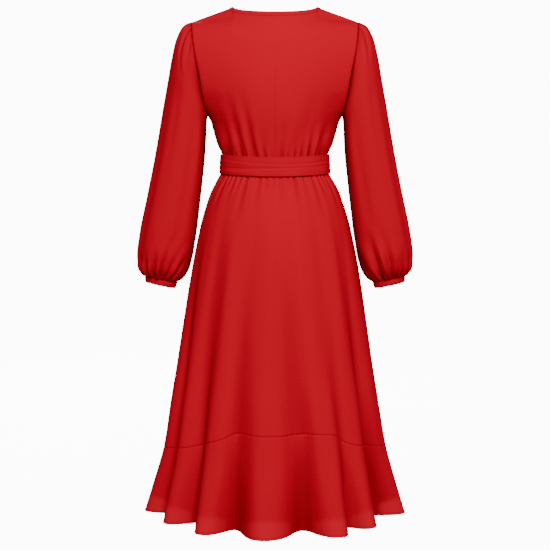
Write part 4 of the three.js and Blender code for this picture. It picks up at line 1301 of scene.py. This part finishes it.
    def cuff(self) -> Cloth:
        """The cuff: a double band whose section is a long flat loop with rounded edges."""
        angle = np.linspace(0, 2 * np.pi, self.columns, endpoint=False)
        top, bottom = (self.ring(row, angle, False) for row in CUFF_RINGS)
        down = np.array([0.0, 0.05, 0.12, 0.3, 0.5, 0.7, 0.85, 0.93, 0.97, 1.0])[:, None, None]
        grid = lerp(top[None], bottom[None], down)
        made = Cloth(f"cuff_{self.side}_cloth", grid, round_=True)
        share = down[..., 0]
        wobble = 0.25 * np.sin(angle * 6 + 1.0) * np.sin(np.pi * share)
        made.push(wobble)
        made.thickness = 1.0 + 1.3 * np.sin(np.pi * np.clip(share, 0.03, 0.97)) ** 0.35 + 0 * wobble
        # Painted shade in the groove where the cuff meets the sleeve and along its stitching.
        made.seam = 0.7 * np.exp(-((share / 0.05) ** 2)) + 0.3 * np.exp(-(((share - 0.86) / 0.06) ** 2))
        made.seam = made.seam + 0 * wobble
        return self.mirrored(made)

    def build(self, wardrobe: Wardrobe) -> None:
        cloth, cuff = self.cloth(), self.cuff()
        wardrobe.dress(cloth.mesh(), f"sleeve_{self.side}")
        outward = facings(cuff.grid, True)
        line = cuff.grid[6] + outward[6] * 1.05
        stitches = wardrobe.stitch(StitchRow().mesh(f"cuff_stitches_{self.side}", line, outward[6], closed=True))
        wardrobe.dress(cuff.mesh(), f"cuff_{self.side}", trim=True)
        LOG.info("sleeve %s made", self.side)


RIGHT_HEAD = (
    (10, 26, 0.0, 0.11, 2.0, 3.2),
    (28, 56, 0.0, 0.10, 4.6, 3.4),
    (38, 66, 0.0, 0.14, 2.4, 3.0),
    (52, 76, 0.0, 0.06, 2.2, 2.8),
    (-8, -20, 0.0, 0.13, 2.4, 3.2),
    (-24, -46, 0.0, 0.15, 3.6, 3.4),
    (-38, -56, 0.0, 0.10, 2.2, 3.0),
    (-50, -72, 0.0, 0.14, 3.0, 3.4),
)
RIGHT_WRIST = (
    (14, 12, 1.0, 0.88, 4.0, 4.5),
    (31, 30, 1.0, 0.84, 5.5, 4.6),
    (44, 41, 1.0, 0.88, 4.0, 4.0),
    (54, 51, 1.0, 0.82, 6.5, 4.4),
    (68, 67, 1.0, 0.86, 5.5, 4.2),
    (80, 103, 1.0, 0.64, 7.5, 5.0),
    (93, 104, 1.0, 0.90, 3.0, 3.6),
    (111, 124, 1.0, 0.72, 8.5, 5.6),
    (128, 140, 1.0, 0.90, 3.4, 4.0),
    (146, 158, 1.0, 0.82, 5.0, 4.6),
    (163, 170, 1.0, 0.86, 4.4, 4.6),
    (186, 190, 1.0, 0.90, 3.4, 4.4),
    (208, 206, 1.0, 0.82, 5.5, 4.8),
    (229, 224, 1.0, 0.88, 3.8, 4.0),
    (250, 246, 1.0, 0.78, 6.5, 4.8),
    (270, 272, 1.0, 0.88, 3.6, 4.2),
    (288, 292, 1.0, 0.80, 6.0, 5.0),
    (309, 312, 1.0, 0.86, 4.4, 4.4),
    (334, 336, 1.0, 0.82, 5.5, 4.8),
)


@dataclass
class Sash:
    """The sash: a softly folded band, its knot and its two hanging ends.

    Attributes:
        folds: soft folds along the band: share of the height, drift round the body, phase, depth, half width.
        tails: name, x at the knot, x at the end, height of the end, place in the knot, distance off the skirt.
    """

    folds: tuple[tuple[float, ...], ...] = (
        (0.30, 0.07, 0.6, 0.7, 0.060),
        (0.52, 0.10, 2.2, 1.0, 0.070),
        (0.76, 0.06, 4.1, 0.7, 0.060),
    )
    tails: tuple[tuple[str, float, float, float, float, float], ...] = (
        ("belt_tail_inner", 94, 126, -742, -1.3, 1.6),
        ("belt_tail_outer", 88, 76, -790, 1.3, 4.4),
    )

    def ring(self, turn: np.ndarray, share: np.ndarray) -> np.ndarray:
        """Places on the band at a turn and a share of its height."""
        sin, cos = np.sin(np.radians(turn)), np.cos(np.radians(turn))
        side = BELT.read("side", share)
        depth = np.where(cos >= 0, BELT.read("back", share), BELT.read("front", share))
        dip = WAIST_DIP_BACK * np.maximum(cos, 0) ** 2
        return points(-side * sin, depth * cos, lerp(BELT_TOP_Z, BELT_BOTTOM_Z, share) - dip)

    def band(self) -> Cloth:
        """The band, with soft folds that drift up and down as they go round."""
        turn = np.linspace(0, 360, 320, endpoint=False)[None, :]
        share = np.unique(np.concatenate([np.linspace(0, 1, 40), [0.01, 0.02, 0.98, 0.99]]))[:, None]
        made = Cloth("belt_band_cloth", self.ring(turn, share), round_=True)
        radians = np.radians(turn)
        move = np.full(np.broadcast(turn, share).shape, 0.5)
        for height, drift, phase, depth, width in self.folds:
            centre = height + drift * np.sin(radians + phase) + 0.03 * np.sin(3 * radians + 2 * phase)
            strength = 0.65 + 0.35 * np.sin(2 * radians + phase)
            move = move - depth * strength * np.exp(-(((share - centre) / width) ** 2))
            move = move + 0.5 * depth * np.exp(-(((share - centre - 1.9 * width) / width) ** 2))
        move = move - 0.9 * np.exp(-((share / 0.02) ** 2)) - 0.9 * np.exp(-(((1 - share) / 0.02) ** 2))
        move = move + 0.5 * np.sin(radians * 11 + 1) * np.sin(np.pi * share)
        made.push(np.maximum(move, -0.7))
        made.thickness = 1.6
        # Painted shade along the stitching near the band's top edge.
        made.seam = 0.25 * np.exp(-(((share - 0.035) / 0.02) ** 2)) + 0 * turn
        return made

    def knot_frame(self) -> tuple[np.ndarray, np.ndarray, np.ndarray]:
        """The knot's centre, the direction it faces, and the direction along the band."""
        sin, cos = math.sin(math.radians(KNOT_TURN)), math.cos(math.radians(KNOT_TURN))
        side, _, front = BELT.rows[1][1:]
        facing = unit(np.array([-sin / side, cos / front, 0.0]))
        along = np.array([-facing[1], facing[0], 0.0])
        centre = np.array([-side * sin, front * cos, (BELT_TOP_Z + BELT_BOTTOM_Z) / 2])
        return centre + facing * (1.5 + 0.3 + KNOT_DEPTH) / 2, facing, along

    def knot(self) -> Cloth:
        """The knot: a flattened round of cloth with slanting folds pressed into it."""
        centre, facing, along = self.knot_frame()
        polar = np.linspace(0.02, np.pi - 0.02, 56)[:, None]
        angle = np.linspace(0, 2 * np.pi, 96, endpoint=False)[None, :]
        slant = angle + 0.9 * np.cos(polar)
        groove = 0.10 * np.abs(np.sin(slant * 2.5 + 0.4)) ** 0.7 + 0.04 * np.sin(slant * 7)
        pinch = 1 - 0.10 * np.exp(-((np.cos(polar) / 0.25) ** 2))
        size = (0.9 + groove * np.sin(polar)) * pinch
        across = 0.5 * KNOT_WIDTH * np.sin(polar) * np.cos(angle) * size
        out = 0.5 * KNOT_DEPTH * np.sin(polar) * np.sin(angle) * size
        up = 0.5 * KNOT_HEIGHT * np.cos(polar) * (0.93 + 0 * angle)
        grid = centre + across[..., None] * along + out[..., None] * facing + points(0 * up, 0 * up, up)
        grid = grid if facings(grid, True)[28, 24] @ facing > 0 else grid[:, ::-1]
        return Cloth("belt_knot_cloth", grid, thickness=0.8, round_=True)

    def tail(self, row: tuple[str, float, float, float, float, float], skirt: Skirt) -> Cloth:
        """One end of the sash, from under the knot down the front of the skirt.

        It comes straight out of the knot, then falls in until it lies on the skirt's largest folds, and it is
        pleated where the knot holds it.
        """
        name, from_x, to_x, to_z, in_knot, clear = row
        centre, facing, along = self.knot_frame()
        top = centre[2] - (KNOT_HEIGHT + SEAM_GAP) / 2
        share = np.unique(np.concatenate([np.linspace(0, 1, 110), [0.985, 0.99, 0.995]]))[:, None]
        across = np.linspace(-0.5, 0.5, 33)[None, :]
        z = lerp(top, to_z, share)
        width = lerp(28, 44, smoothstep(top - z, 0, 40))
        x = lerp(from_x, to_x, share**0.8) + width * across
        turn = 180 + np.degrees(np.arcsin(x / SKIRT.read("side", z)))
        sin, cos = np.sin(np.radians(turn)), np.cos(np.radians(turn))
        side, depth = SKIRT.read("side", z), SKIRT.read("front", z)
        outward = unit(points(-sin / side, cos / depth, 0 * sin))
        stand = FOLD_REACH.read("folds", z) + FOLD_REACH.read("gathers", z) + 1.5 + clear
        hung = points(-side * sin, depth * cos, z) + outward * stand[..., None]
        held = centre + (width * across)[..., None] * along + in_knot * facing
        held = np.broadcast_to(held, hung.shape).copy()
        held[..., 2] = z
        blend = (1 - smoothstep(top - z, 0, 70))[..., None]
        made = Cloth(f"{name}_cloth", hung * (1 - blend) + held * blend)
        pleat = 0.55 * np.cos(across * 2 * np.pi * 3) * np.exp(-(top - z) / 60)
        sway = 0.5 * np.sin((top - z) / 47 + across * 3) * smoothstep(top - z, 30, 120)
        made.push(pleat + sway)
        from_edge = np.minimum((0.5 - np.abs(across)) * width, (z - to_z))
        made.thickness = 0.8 + 0.5 * np.exp(-((from_edge / 2.0) ** 2))
        # Painted shade along the stitching just inside the edges.
        made.seam = 0.35 * np.exp(-(((from_edge - 2.4) / 0.8) ** 2))
        return made

    def build(self, wardrobe: Wardrobe, skirt: Skirt) -> None:
        wardrobe.dress(self.band().mesh(), "belt_band", trim=True)
        wardrobe.dress(self.knot().mesh(), "belt_knot", trim=True)
        for row in self.tails:
            wardrobe.dress(self.tail(row, skirt).mesh(), row[0], trim=True)
        LOG.info("sash made")


@dataclass
class Studio:
    """A pale sweep, soft light and the camera.

    Attributes:
        floor_z: the floor's height, in metres.
        paper_glow: how bright the paper is by itself.
        camera_at: the camera's place.
        aim: the place it looks at.
        lens: its focal length in millimetres on a sensor 36 mm wide.
    """

    floor_z: float = -1.52
    paper_glow: float = 11.0
    camera_at: tuple[float, float, float] = (0.0, 3.4, -0.3215)
    aim: tuple[float, float, float] = (0.0, 0.0, -0.6315)
    lens: float = 93.1

    def sweep(self) -> None:
        """The pale floor that curves up into a round wall, white from all sides and giving the dress no light."""
        bend = np.radians(np.linspace(0, 90, 20))
        out = np.concatenate([[0.001], 5.0 + 2.5 * np.sin(bend), [7.5]])
        up = self.floor_z + np.concatenate([[0.0], 2.5 * (1 - np.cos(bend)), [9.0]])
        turn = np.radians(np.arange(0, 360, 5))[:, None]
        places = points(out * np.sin(turn), out * np.cos(turn), up + 0 * turn)
        turns, rings = places.shape[:2]
        i, j = np.meshgrid(np.arange(turns), np.arange(rings - 1), indexing="ij")
        following = (i + 1) % turns
        corners = [(i, j), (i, j + 1), (following, j + 1), (following, j)]
        mesh = bpy.data.meshes.new("sweep")
        faces = np.stack([(a * rings + b).ravel() for a, b in corners], axis=1)
        mesh.from_pydata(places.reshape(-1, 3), [], faces[:, ::-1])
        mesh.polygons.foreach_set("use_smooth", np.ones(len(faces), bool))
        material = bpy.data.materials.new("pale_paper")
        material.use_nodes = True
        shader = material.node_tree.nodes["Principled BSDF"]
        shader.inputs["Base Color"].default_value = (0.93, 0.93, 0.93, 1)
        shader.inputs["Roughness"].default_value = 0.9
        shader.inputs["Specular IOR Level"].default_value = 0.1
        shader.inputs["Emission Strength"].default_value = self.paper_glow
        tree = material.node_tree
        place = tree.nodes.new("ShaderNodeTexCoord")
        grain = tree.nodes.new("ShaderNodeTexNoise")
        grain.inputs["Scale"].default_value = 1500.0
        grain.inputs["Detail"].default_value = 0.0
        level = tree.nodes.new("ShaderNodeMapRange")
        level.inputs["From Min"].default_value = 0.3
        level.inputs["From Max"].default_value = 0.7
        level.inputs["To Min"].default_value = 0.4
        level.inputs["To Max"].default_value = 1.6
        tree.links.new(place.outputs["Object"], grain.inputs["Vector"])
        tree.links.new(grain.outputs["Fac"], level.inputs["Value"])
        tree.links.new(level.outputs["Result"], shader.inputs["Emission Color"])
        mesh.materials.append(material)
        sweep = bpy.data.objects.new("sweep", mesh)
        sweep.visible_diffuse = False
        sweep.visible_glossy = False
        sweep.visible_shadow = False
        bpy.context.scene.collection.objects.link(sweep)

    def light(self, name: str, at: tuple[float, float, float], size: float, watts: float,
              target: tuple[float, float, float]) -> None:
        """One soft square light, which points at a place on the dress."""
        lamp = bpy.data.lights.new(name, "AREA")
        lamp.shape = "SQUARE"
        lamp.size = size
        lamp.energy = watts
        holder = bpy.data.objects.new(name, lamp)
        holder.location = at
        self._turn_to(holder, target)
        bpy.context.scene.collection.objects.link(holder)

    @staticmethod
    def _turn_to(holder: bpy.types.Object, target: tuple[float, float, float]) -> None:
        """Turn a light or camera to look at a place, upright."""
        ahead = np.array(target) - np.array(holder.location)
        yaw = math.atan2(-ahead[0], ahead[1])
        pitch = math.atan2(ahead[2], math.hypot(ahead[0], ahead[1]))
        holder.rotation_euler = (math.pi / 2 + pitch, 0.0, yaw)

    def build(self) -> None:
        """Make the sweep, the lights, the surrounding light and the camera."""
        self.sweep()
        world = bpy.data.worlds.new("studio")
        world.use_nodes = True
        world.node_tree.nodes["Background"].inputs["Color"].default_value = (1, 1, 1, 1)
        world.node_tree.nodes["Background"].inputs["Strength"].default_value = 0.32
        bpy.context.scene.world = world
        self.light("key", (-0.45, 4.3, 2.1), 2.0, 345.0, (0.0, 0.0, -0.5))
        self.light("front", (0.9, -4.6, 1.7), 1.8, 310.0, (0.0, 0.0, -0.6))
        lens = bpy.data.cameras.new("camera")
        lens.sensor_width = 36.0
        lens.lens = self.lens
        lens.clip_end = 60.0
        camera = bpy.data.objects.new("camera", lens)
        camera.location = self.camera_at
        self._turn_to(camera, self.aim)
        bpy.context.scene.collection.objects.link(camera)
        bpy.context.scene.camera = camera


def main() -> None:
    """Build the studio and the dress."""
    logging.basicConfig(level=logging.INFO, format="%(message)s")
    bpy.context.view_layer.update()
    Studio().build()
    grain = grain_group()
    cloth = CrepeFinish("red_crepe", (0.46, 0.0005, 0.013), (0.10, 0.0001, 0.002), (0.485, 0.0040, 0.017))
    trim = replace(cloth, name="red_crepe_double", colour=(0.45, 0.0005, 0.013), grain=0.3)
    thread = replace(cloth, name="red_thread", colour=(0.36, 0.0004, 0.009), roughness=0.6, grain=0.1)
    wardrobe = Wardrobe(cloth.material(grain), trim.material(grain), thread.material(grain))
    skirt = Skirt()
    skirt.build(wardrobe)
    Bodice().build(wardrobe)
    Sleeve(False).build(wardrobe)
    Sleeve(True, head=RIGHT_HEAD, wrist=RIGHT_WRIST).build(wardrobe)
    Sash().build(wardrobe, skirt)
    LOG.info("size written")


if __name__ == "__main__":
    main()
